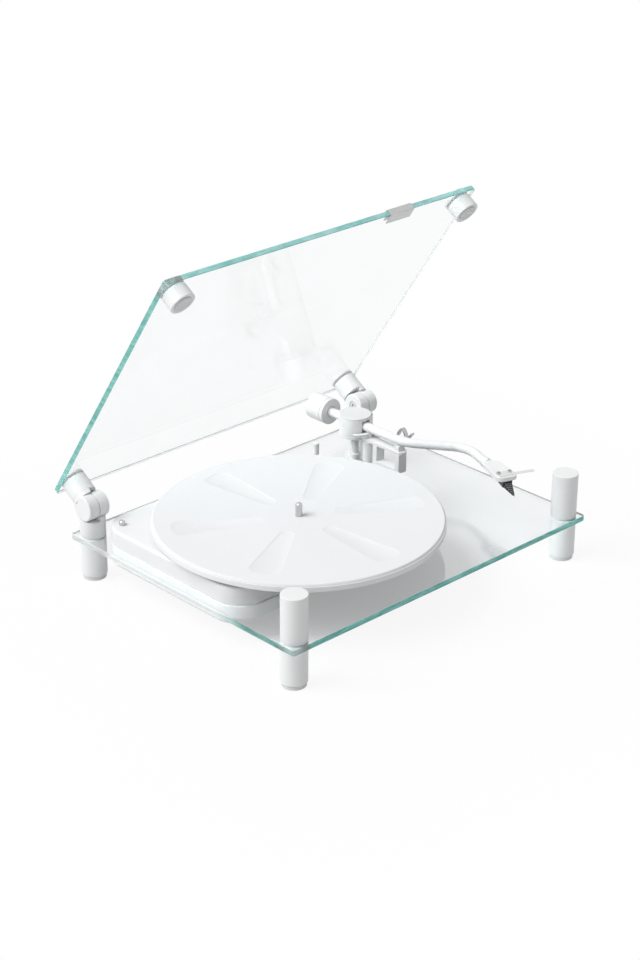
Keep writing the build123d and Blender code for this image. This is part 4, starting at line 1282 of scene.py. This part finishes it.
@dataclass
class Hinges:
    """The rear posts and the lid's rear legs, halved to round knuckles, with their pins and washers."""

    height: float = 80.5
    opening: float = -56.7
    gap: float = 0.5
    ear_face: float = 0.4
    end_face: float = 12.9
    pin_bore: float = 3.55
    blind: float = 1.0
    head_seat: float = 5.8
    seat_depth: float = 2.4
    post_low: float = 49.2
    leg_top: float = 113.4
    neck_drop: float = 4.0
    neck_rise: float = 0.6
    colour: Colour = (0.80, 0.80, 0.805)

    def opened(self) -> Matrix:
        """The turn that opens the lid."""
        pivot = shift(0, COLUMN[1], self.height)
        return pivot @ turn(self.opening, "X") @ shift(0, -COLUMN[1], -self.height)

    def knuckle(self, seat: bool) -> Form:
        """A round knuckle about the X axis, towards +X, with a fine groove before its end.

        Args:
            seat: Whether its end has the seat of the pin's head.

        Returns:
            The knuckle.
        """
        r, near, end = COLUMN_RADIUS - 0.1, self.ear_face, self.end_face
        bore, head = self.pin_bore, self.head_seat
        floor = end - (self.seat_depth if seat else self.blind)
        wall = head if seat else 0
        inner = [(bore, floor), (wall, floor), (wall, end)]
        outer = [(r - 0.9, end), (r, end - 0.9), (r, end - 2.3), (r - 0.3, end - 2.4), (r - 0.3, end - 2.7),
                 (r, end - 2.8), (r, near + 0.3), (r - 0.3, near)]
        return Form().lathe([(bore, near), *inner, *outer], ring=True).at(turn(90, "Y"))

    def neck(self, low: float, high: float) -> Form:
        """Half of the column, towards +X, between two heights.

        Args:
            low: The lower height.
            high: The upper height.

        Returns:
            The half column.
        """
        keep, size = Form(), 80.0
        middle = shift(self.ear_face - size / 2, 0, (low + high) / 2)
        bmesh.ops.create_cube(keep.mesh, size=size, matrix=middle)
        return Form().rod(COLUMN_RADIUS, low, high).cut(keep)

    def arm(self, end: float, seat: bool) -> Form:
        """A column from its end to its shoulder, and on as half a knuckle, with the pin's axis at height 0.

        Args:
            end: The height of the column's end.
            seat: Whether the knuckle has the seat of the pin's head.

        Returns:
            The arm.
        """
        side = math.copysign(1.0, end)
        shoulder = side * (COLUMN_RADIUS + self.gap)
        column = Form().rod(COLUMN_RADIUS, *sorted((end, shoulder))).soften(0.25)
        neck = self.neck(*sorted((side * (COLUMN_RADIUS - self.neck_drop), shoulder + side * self.neck_rise)))
        return column.join(neck).join(self.knuckle(seat))

    def build(self, shop: Workshop, lid: Matrix) -> None:
        """Makes the posts and legs, and refines the pins, whose heads show, and the washers.

        Args:
            shop: The workshop.
            lid: The turn that opens the lid.
        """
        for side, post, leg in ((-1, "rear_left_post", "left_lid_leg"),
                                (1, "rear_right_post", "right_lid_leg")):
            place = shift(side * COLUMN[0], COLUMN[1], self.height)
            inward, outward = place @ turn(90 + 90 * side, "Z"), place @ turn(90 - 90 * side, "Z")
            shop.put(self.arm(self.post_low - self.height, True), post + "_turned", post, inward, WHITE)
            shop.put(self.arm(self.leg_top - self.height, False), leg + "_turned", leg, lid @ outward,
                     WHITE_LID)
        turned = TurnedMetal("pin_steel", shop.point(0, COLUMN[1], self.height), Axis.X, self.colour, 0.3)
        shop.refine("hinge_pins", 0.25, turned)
        shop.refine("hinge_washers", 0.12, turned, 1)


@dataclass
class Platter:
    """The disc, mat, hub, spindle and bearing."""

    radius: float = 150.0
    low: float = 72.0
    top: float = 77.8
    mat_top: float = 80.0
    mat_radius: float = 148.8
    seat: float = 4.5
    seat_gap: float = 0.05
    pin: float = 3.6
    pin_gap: float = 0.15
    pin_top: float = 94.4
    hub_low: float = 66.8
    hub_bore: float = 6.05
    collar: float = 6.0
    shaft: float = 5.0
    shaft_low: float = 31.9
    hollows: int = 6
    first_turn: float = 31.0
    hollow_depth: float = 0.2
    hollow_ease: float = 0.19
    hollow_circles: tuple[Point, ...] = ((46.0, 0, 8.0), (120.0, -5.0, 11.0), (120.0, 5.0, 11.0))

    def mat(self) -> Form:
        """The mat with its ring of drop-shaped hollows, whose rims are soft.

        Returns:
            The mat.
        """
        hole, pin, r = self.seat + self.seat_gap, self.pin + self.pin_gap, self.mat_radius
        low, top, floor = self.top, self.mat_top, self.mat_top - self.hollow_depth
        form = Form().lathe([(hole, low), (r - 0.45, low), (r, low + 0.35), (r - 0.75, top - 0.4),
                             (r - 1.1, top - 0.35), (r - 1.1, top - 0.2), (r - 1.3, top), (pin, top),
                             (pin, top - 0.6), (hole, top - 0.6)], 224, ring=True)
        hollow = Form().hull(self.hollow_circles, floor, top + PAST)
        hollow.soften(self.hollow_ease, 3, under(floor + 0.1), 60.0)
        turns = [turn(self.first_turn + i * 360 / self.hollows, "Z") for i in range(self.hollows)]
        return form.cut(hollow.at(*turns))

    def spindle(self) -> Form:
        """The stepped shaft with its rounded nose.

        Returns:
            The shaft.
        """
        pin, seat, tip, step = self.pin, self.seat, self.pin_top, self.mat_top - 0.65
        return Form().lathe([(0, tip), (pin - 1.2, tip - 0.2), (pin - 0.5, tip - 0.8), (pin, tip - 1.6),
                             (pin, step), (seat, step), (seat, self.low), (self.collar, self.low),
                             (self.collar, self.hub_low), (self.shaft, self.hub_low),
                             (self.shaft, self.shaft_low), (0, self.shaft_low)], 64).soften(0.12, least=40.0)

    def build(self, shop: Workshop) -> None:
        """Makes the turning parts, and refines the bearing.

        Args:
            shop: The workshop.
        """
        place, centre = shift(*PLATTER_AXIS), shop.point(*PLATTER_AXIS)
        bright = TurnedMetal("spindle_steel", centre, Axis.Z, (0.60, 0.60, 0.60), 0.18)
        disc = Form().rod(self.radius, self.low, self.top, 224, self.seat + self.seat_gap).soften(0.5, 3)
        shop.put(disc, "disc_turned", "platter", place, PlatterPaint("platter_paint", centre))
        shop.put(self.mat(), "mat_moulded", "platter_mat", place, MatRubber("mat_skin", centre), even=False)
        shop.put(self.spindle(), "spindle_turned", "spindle", place, bright)
        hub = Form().rod(HUB_RADIUS, self.hub_low, self.low, 160, self.hub_bore).soften(0.3)
        shop.put(hub, "hub_turned", "sub_platter", place, PlatterPaint("hub_paint", centre))
        dull = TurnedMetal("bearing_alloy", centre, Axis.Z, (0.66, 0.66, 0.67), 0.3)
        for node in ("bearing_housing", "clamp_nuts"):
            shop.refine(node, 0.3, dull)
        shop.coat(bright, "thrust_ball")


@dataclass
class Drive:
    """The belt, pulley and motor."""

    axis: tuple[float, float] = (-140.0, 13.0)
    pulley: float = 7.0
    flange: float = 8.5
    flange_thick: float = 0.6
    bore: float = 1.05
    low: float = 67.1
    high: float = 71.7
    middle: float = 69.4
    belt_half: float = 1.4

    def loop(self, grow: float, half: float) -> Form:
        """The belt's line, grown by a distance, as a block of some half width."""
        circles = ((*PLATTER_AXIS, HUB_RADIUS + grow), (*self.axis, self.pulley + grow))
        return Form().hull(circles, self.middle - half, self.middle + half, 128)

    def wheel(self) -> Form:
        """The motor's pulley, with a flange at each end.

        Returns:
            The pulley.
        """
        bore, flange, low, high, t = self.bore, self.flange, self.low, self.high, self.flange_thick
        return Form().lathe([(bore, low), (flange, low), (flange, low + t), (self.pulley, low + t),
                             (self.pulley, high - t), (flange, high - t), (flange, high), (bore, high)],
                            64, ring=True).soften(0.12)

    def build(self, shop: Workshop) -> None:
        """Makes the belt, which stands off the hub and the pulley, and coats what the housing hides.

        Args:
            shop: The workshop.
        """
        belt = self.loop(0.9, self.belt_half).cut(self.loop(0.3, self.belt_half + 1.0))
        rubber = SoftRubber("belt_rubber", (0.03, 0.03, 0.032), 0.6)
        shop.put(belt, "belt_ground", "drive_belt", HERE, rubber, even=False)
        alloy = TurnedMetal("pulley_alloy", shop.point(*self.axis), Axis.Z, (0.68, 0.68, 0.69), 0.24)
        shop.put(self.wheel(), "pulley_turned", "motor_pulley", shift(*self.axis), alloy)
        shop.coat(alloy, "motor_shaft", "motor")


@dataclass
class Housing:
    """The two shells, what they hold, the knob and the sockets."""

    knob: tuple[float, float] = (-180.8, 118.1)
    sockets: tuple[float, float] = (-140.8, -124.8)
    back: float = 138.9
    socket_height: float = 36.0

    def build(self, shop: Workshop) -> None:
        """Refines the shells and makes the sockets.

        Args:
            shop: The workshop.
        """
        alloy = TurnedMetal("knob_alloy", shop.point(*self.knob), Axis.Z, (0.60, 0.605, 0.61), 0.3)
        nickel = TurnedMetal("socket_nickel", shop.point(self.sockets[0], 0, self.socket_height), Axis.Y,
                             (0.72, 0.68, 0.58), 0.16)
        shop.refine("upper_housing", 0.0, SHELL)
        shop.refine("lower_housing", 0.0, SHELL)
        shop.refine("speed_knob", 0.25, alloy)
        socket = Form().lathe([(0, -8.0), (4.15, -8.0), (4.15, 0), (5.5, 0), (5.5, 1.5), (4.15, 1.5),
                               (4.15, 9.0), (1.6, 9.0), (1.6, 0.0), (0, 0.0)], 48).soften(0.3)
        places = [shift(x, self.back, self.socket_height) @ LIE_ALONG_Y for x in self.sockets]
        shop.put(socket.at(*places), "sockets_turned", "phono_sockets", HERE, nickel)
        shop.refine("power_inlet", 0.3, DARK)
        shop.coat(DARK, "speed_switch")
        shop.coat(Lacquer("board_lacquer"), "circuit_board")
        shop.coat(STEEL_Z, "housing_screws")


@dataclass
class Arm:
    """The arm's bearing, tube, headshell and cartridge."""

    tube_radius: float = 5.0
    start: float = 91.5
    corner: float = 22.0
    out: float = 36.0
    yaw: float = 20.0
    radii: tuple[float, float] = (38.0, 33.0)
    tip: tuple[float, float] = (136.0, -131.0)
    reach: float = 62.0
    screws: Point = (-6.35, 6.35, 23.5)
    tab_top: float = 99.4
    cartridge_low: float = 92.8
    cap: Point = (17.4, 103.9, 101.9)

    def tube(self) -> Form:
        """The tube: a ring drawn along its straights and spun round its two bends.

        Returns:
            The tube.
        """
        form, here = Form(), Vector((ARM_AXIS[0], self.start, ARM_HEIGHT))
        bmesh.ops.create_circle(form.mesh, segments=40, radius=self.tube_radius,
                                matrix=Matrix.Translation(here) @ turn(90, "X"))
        rim: list = list(form.mesh.verts) + list(form.mesh.edges)
        out, yaw = math.radians(self.out), math.radians(self.yaw)
        ways = [Vector((0, -1, 0)), Vector((math.sin(out), -math.cos(out), 0)),
                Vector((-math.sin(yaw), -math.cos(yaw), 0))]
        end = Vector((*self.tip, ARM_HEIGHT)) - ways[2] * self.reach
        first = Vector((ARM_AXIS[0], self.corner, ARM_HEIGHT))
        gap = end - first
        run = (gap.x * math.cos(yaw) - gap.y * math.sin(yaw)) / math.sin(out + yaw)
        for corner, before, after, radius in zip([first, first + ways[1] * run], ways, ways[1:], self.radii):
            angle = before.angle(after)
            side = 1 if before.cross(after).z > 0 else -1
            entry = corner - before * (radius * math.tan(angle / 2))
            rim = self.draw_on(form, rim, entry - here)
            middle = entry + Vector((-before.y, before.x, 0)) * (radius * side)
            rim = bmesh.ops.spin(form.mesh, geom=rim, cent=middle, axis=(0, 0, side), angle=angle,
                                 steps=28)["geom_last"]
            here = corner + after * (radius * math.tan(angle / 2))
        self.draw_on(form, rim, end - here)
        bmesh.ops.holes_fill(form.mesh, edges=form.mesh.edges, sides=0)
        return form.close_up()

    def draw_on(self, form: Form, rim: list, by: Vector) -> list:
        """Draws the tube on in a straight run.

        Args:
            form: The tube so far.
            rim: Its last ring.
            by: The run.

        Returns:
            The new last ring.
        """
        edges = [g for g in rim if isinstance(g, bmesh.types.BMEdge)]
        new = form.draw_out(bmesh.ops.extrude_edge_only(form.mesh, edges=edges)["geom"], by)
        points = [g for g in new if isinstance(g, bmesh.types.BMVert)]
        return points + [g for g in new if isinstance(g, bmesh.types.BMEdge)
                         and all(v in points for v in g.verts)]

    def collar(self) -> Form:
        """The locking collar, with two fine grooves and its small pin.

        Returns:
            The collar.
        """
        profile = [(4.5, -4.0), (5.8, -4.0), (5.8, -0.4), (5.5, -0.2), (5.5, 0.2), (5.8, 0.4), (5.8, 2.8),
                   (5.5, 3.0), (5.5, 3.2), (5.8, 3.4), (5.8, 4.0), (5.0, 4.0), (5.0, 0.0), (4.5, 0.0)]
        pin = Form().rod(1.3, 6.8, 5.2, 32).soften(0.25, 3).at(shift(0, 0, -2.0) @ turn(90, "X"))
        return Form().lathe(profile, 64, ring=True).soften(0.12, least=60.0).join(pin)

    def screw(self) -> Form:
        """One screw of the headshell, with a round socket in its head.

        Returns:
            The screw.
        """
        seat, low = self.tab_top, self.cartridge_low
        return Form().lathe([(0, seat + 0.2), (1.3, seat + 0.2), (1.3, seat + 1.1), (1.7, seat + 1.3),
                             (2.2, seat + 1.0), (2.2, seat), (1.2, seat), (1.2, low), (0, low)], 32)

    def build(self, shop: Workshop) -> None:
        """Makes the arm's pieces, from its column to the stylus.

        Args:
            shop: The workshop.
        """
        head = shift(*self.tip) @ turn(-self.yaw, "Z")
        left, right, behind = self.screws
        shop.put(self.tube(), "tube_bent", "arm_tube", HERE, WHITE_ARM)
        shop.put(self.collar(), "collar_turned", "headshell_collar",
                 head @ shift(0, self.reach, ARM_HEIGHT) @ LIE_ALONG_Y, WHITE_ARM)
        shop.put(Form().rod(*self.cap).soften(0.6, 3), "cap_turned", "swivel_cap", shift(*ARM_AXIS),
                 SatinPaint("white_satin_cap", (0.79, 0.80, 0.80), 0.5))
        for node, width, segments, least in (("swivel_housing", 0.4, 2, 50.0), ("arm_column", 0.4, 2, 50.0),
                                             ("headshell", 0.3, 3, 50.0), ("gimbal_pins", 0.2, 2, 34.0),
                                             ("arm_carrier", 0.3, 2, 50.0)):
            shop.refine(node, width, WHITE_ARM, segments, least)
        screws = self.screw().at(*[head @ shift(x, behind) for x in (left, right)])
        steel = BrushedMetal("screw_steel", Grain.ALONG_Z, (0.50, 0.50, 0.51), 0.28)
        shop.put(screws, "screws_turned", "headshell_screws", HERE, steel, even=False)
        tab = BrushedMetal("tab_metal", Grain.ALONG_X, (0.80, 0.80, 0.805), 0.42)
        shop.refine("finger_lift", 0.2, tab, least=50.0)
        shop.refine("cartridge_body", 0.3, GlossPlastic("cartridge_case", (0.022, 0.022, 0.025)))
        ribbed = RibbedPlastic("stylus_plastic", shop.point(*self.tip, self.cartridge_low))
        # painted highlight: the stylus's bevels get bright steel, standing for a thin light line along its
        # edges
        shop.refine("stylus", 0.4, ribbed, edge=STEEL_Z)
        shop.refine("counterweight_shaft", 0.3, WHITE_ARM, least=50.0)


@dataclass
class Weight:
    """The counterweight and its dial ring, with the dial's front as the middle."""

    y: float = 135.0
    radius: float = 14.7
    length: float = 26.0
    bore: float = 5.08
    dial: float = 4.2

    def build(self, shop: Workshop) -> None:
        """Turns the drum and the ring.

        Args:
            shop: The workshop.
        """
        r, hole, back, dial = self.radius, self.bore, self.length, self.dial
        place = shift(ARM_AXIS[0], self.y, ARM_HEIGHT) @ LIE_ALONG_Y
        drum = Form().lathe([(hole, dial), (12.0, dial), (12.0, dial + 0.5), (r, dial + 0.5), (r, back),
                             (0, back), (0, back - 2.5), (hole, back - 2.5)], 112, ring=True)
        drum.soften(0.8, 3, beyond(r - 0.1))
        shop.put(drum, "drum_turned", "counterweight", place, WHITE_ARM)
        ring = Form().lathe([(hole, 1.0), (6.2, 1.0), (6.2, 0), (r, 0), (r, dial), (hole, dial)],
                            112, ring=True)
        shop.put(ring.soften(0.35), "dial_turned", "dial_ring", place, WHITE_ARM)


@dataclass
class Cueing:
    """The arm's board, lift, frame, rest and lever, and the peg behind them."""

    peg: tuple[float, float] = (109.0, 135.5)
    peg_radius: float = 3.3
    peg_top: float = 62.1
    pivot: Point = (143.5, 74.5, 83.1)
    lever_width: float = 5.0
    lever_thick: float = 1.8
    hub_radius: float = 4.0
    hub_bore: float = 1.55
    line: Profile = ((-2.5, 2.2), (-14.0, 3.4), (-26.0, 5.4), (-31.0, 9.0), (-34.0, 14.6), (-35.9, 17.3),
                     (-37.7, 18.3), (-39.5, 17.3), (-41.7, 14.0), (-43.5, 11.0), (-45.3, 9.9), (-47.3, 10.5),
                     (-49.7, 13.2), (-52.4, 17.0))

    def lever(self) -> Form:
        """The bent strip, which runs low beside the tube and ends in a wave, with its hub about the pin.

        Returns:
            The lever.
        """
        half, edge = self.lever_thick / 2, self.lever_width / 2
        above, below = [], []
        befores, afters = self.line[:1] + self.line, self.line[1:] + self.line[-1:]
        for (y, z), before, after in zip(self.line, befores, afters):
            way = Vector((after[0] - before[0], after[1] - before[1])).normalized() * half
            above.append((y - way.y, z + way.x))
            below.append((y + way.y, z - way.x))
        form = Form().prism([(-edge, y, z) for y, z in above + below[::-1]], self.lever_width, 0, 0)
        hub = Form().rod(self.hub_radius, -edge, edge, 48, self.hub_bore).soften(0.25)
        return form.close_up().soften(0.25, least=50.0).join(hub.at(turn(90, "Y")))

    def build(self, shop: Workshop) -> None:
        """Refines the board's pieces and makes the lever and the peg.

        Args:
            shop: The workshop.
        """
        for node, width, least in (("arm_board", 0.4, 50.0), ("lift_frame", 0.5, 50.0),
                                   ("arm_rest", 0.35, 50.0), ("lift_bar", 0.3, 50.0),
                                   ("lift_damper", 0.3, 60.0)):
            shop.refine(node, width, WHITE_ARM, 2, least)
        shop.put(self.lever(), "lever_bent", "cue_lever", shift(*self.pivot),
                 BrushedMetal("brushed_strip", Grain.ALONG_Y, (0.50, 0.505, 0.51), 0.30), even=False)
        _, y, z = self.pivot
        shop.refine("cue_lever_pin", 0.2, TurnedMetal("lever_pin_steel", shop.point(0, y, z), Axis.X))
        peg = Form().rod(self.peg_radius, self.peg_top, BASE_LOW + SHEET, 48).soften(0.8, 3)
        shop.put(peg, "peg_turned", "rear_peg", shift(*self.peg), WHITE)


@dataclass
class Studio:
    """The floor, the backdrop, the soft lamp and the camera."""

    camera: Point = (-1437.17, -1468.08, 1076.81)
    right: Point = (0.72099, -0.69290, 0.00772)
    up: Point = (0.29274, 0.31467, 0.90293)
    lens: float = 83.06
    floor: float = 9.0
    floor_low: float = -0.0004
    painted_floor_light: float = 0.37
    beside: float = 0.16
    base_middle: float = -12.8575
    ambient: float = 0.46
    key: float = 540.0
    key_size: float = 5.2
    key_place: Point = (-4.8, 2.2, 5.9)
    aimed_at: Point = (0, 0, 0.08)

    def seen(self, bench: Bench) -> Wire:
        """Whether a ray shows the backdrop, by itself or in glass or gloss, and doesn't light a piece.

        Args:
            bench: The bench of the floor's or the world's nodes.

        Returns:
            1 where it does, and 0 for the others.
        """
        kinds = ("Camera", "Glossy", "Transmission")
        camera, glossy, through = [bench.ray(f"Is {kind} Ray") for kind in kinds]
        shown = camera.maths("MAXIMUM", camera, glossy.maths("MAXIMUM", glossy, through))
        scattered = bench.ray("Diffuse Depth")
        return shown * scattered.maths("LESS_THAN", scattered, 0.5)

    def lay_floor(self) -> None:
        """Lays the pale floor, which goes over into white; near the base a painted glow lifts its shade."""
        form, bench = Form(), Bench("floor_pale")
        bmesh.ops.create_grid(form.mesh, x_segments=8, y_segments=8, size=self.floor / MM)
        floor = form.loose("floor")
        floor.data.transform(shift(z=self.floor_low) @ TO_METRES)
        cloud = bench.noise(bench.place(), 3.0, 3.0)
        matt = bench.node("ShaderNodeBsdfDiffuse", {},
                          {"Color": bench.mix(cloud, (0.555, 0.545, 0.55), (0.57, 0.56, 0.565))})
        grey = bench.node("ShaderNodeBsdfDiffuse", {}, {"Color": (0.62, 0.62, 0.62)})
        # painted light: an even glow added to the floor's shade near the base, most where it is seen through
        # the glass
        glow = bench.glow("ShaderNodeEmission", self.painted_floor_light)
        lit = bench.node("ShaderNodeAddShader", {}, {0: matt, 1: glow})
        shown = bench.blend(self.near(bench), bench.glow("ShaderNodeEmission"), lit)
        floor.data.materials.append(bench.close(bench.blend(self.seen(bench), grey, shown)))

    def near(self, bench: Bench) -> Wire:
        """How much of the floor's own shade shows.

        Args:
            bench: The bench of the floor's nodes.

        Returns:
            1 through the glass, a little beside it, and 0 far off.
        """
        here = bench.node("ShaderNodeVectorMath", {"operation": "ABSOLUTE"},
                          {0: bench.place((0.0, self.base_middle * MM, 0.0))})
        x, y = bench.part(here, 0), bench.part(here, 1)
        below = (1.0 - x.above(0.34, 0.08)) * (1.0 - y.above(0.30, 0.08))
        beside = (1.0 - x.above(0.42, 0.18)) * (1.0 - y.above(0.40, 0.18))
        return below * bench.ray("Is Transmission Ray") * (1.0 - self.beside) + beside * self.beside

    def light(self) -> None:
        """Sets the world, and hangs one square lamp that glass lets through only once."""
        bench = Bench("studio", bpy.data.worlds.new("studio"), "ShaderNodeOutputWorld")
        soft, white = bench.glow("ShaderNodeBackground", self.ambient), bench.glow("ShaderNodeBackground")
        bpy.context.scene.world = bench.close(bench.blend(self.seen(bench), soft, white))
        data = bpy.data.lights.new("key", "AREA")
        data.shape, data.size, data.energy = "SQUARE", self.key_size, self.key
        lamp = add("key", data)
        lamp.location, lamp.visible_transmission = self.key_place, False
        way = Vector(self.aimed_at) - Vector(self.key_place)
        lamp.rotation_euler = way.to_track_quat("-Z", "Y").to_euler()

    def aim(self, shop: Workshop) -> None:
        """Puts the camera where the photograph was taken from.

        Args:
            shop: The workshop.
        """
        right, up = Vector(self.right), Vector(self.up)
        data = bpy.data.cameras.new("camera")
        data.lens, data.sensor_width, data.sensor_fit = self.lens, 36.0, "AUTO"
        place = Matrix((right, up, right.cross(up))).transposed().to_4x4()
        place.translation = Vector(shop.point(*self.camera))
        made = add("camera", data)
        made.matrix_world = place
        bpy.context.scene.camera = made


def main() -> None:
    """Builds the turntable's looks and the studio."""
    logging.basicConfig(level=logging.INFO, format="%(message)s")
    shop = Workshop(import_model())
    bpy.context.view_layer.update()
    hinges, studio = Hinges(), Studio()
    lid = hinges.opened()
    studio.aim(shop)
    Glass().build(shop, lid)
    Columns().build(shop)
    Lid().build(shop, lid)
    hinges.build(shop, lid)
    for part in (Platter(), Drive(), Housing(), Arm(), Weight(), Cueing()):
        part.build(shop)
    studio.lay_floor()
    studio.light()
    bpy.context.scene.view_settings.view_transform = "Standard"
    bpy.context.view_layer.update()


if __name__ == "__main__":
    main()
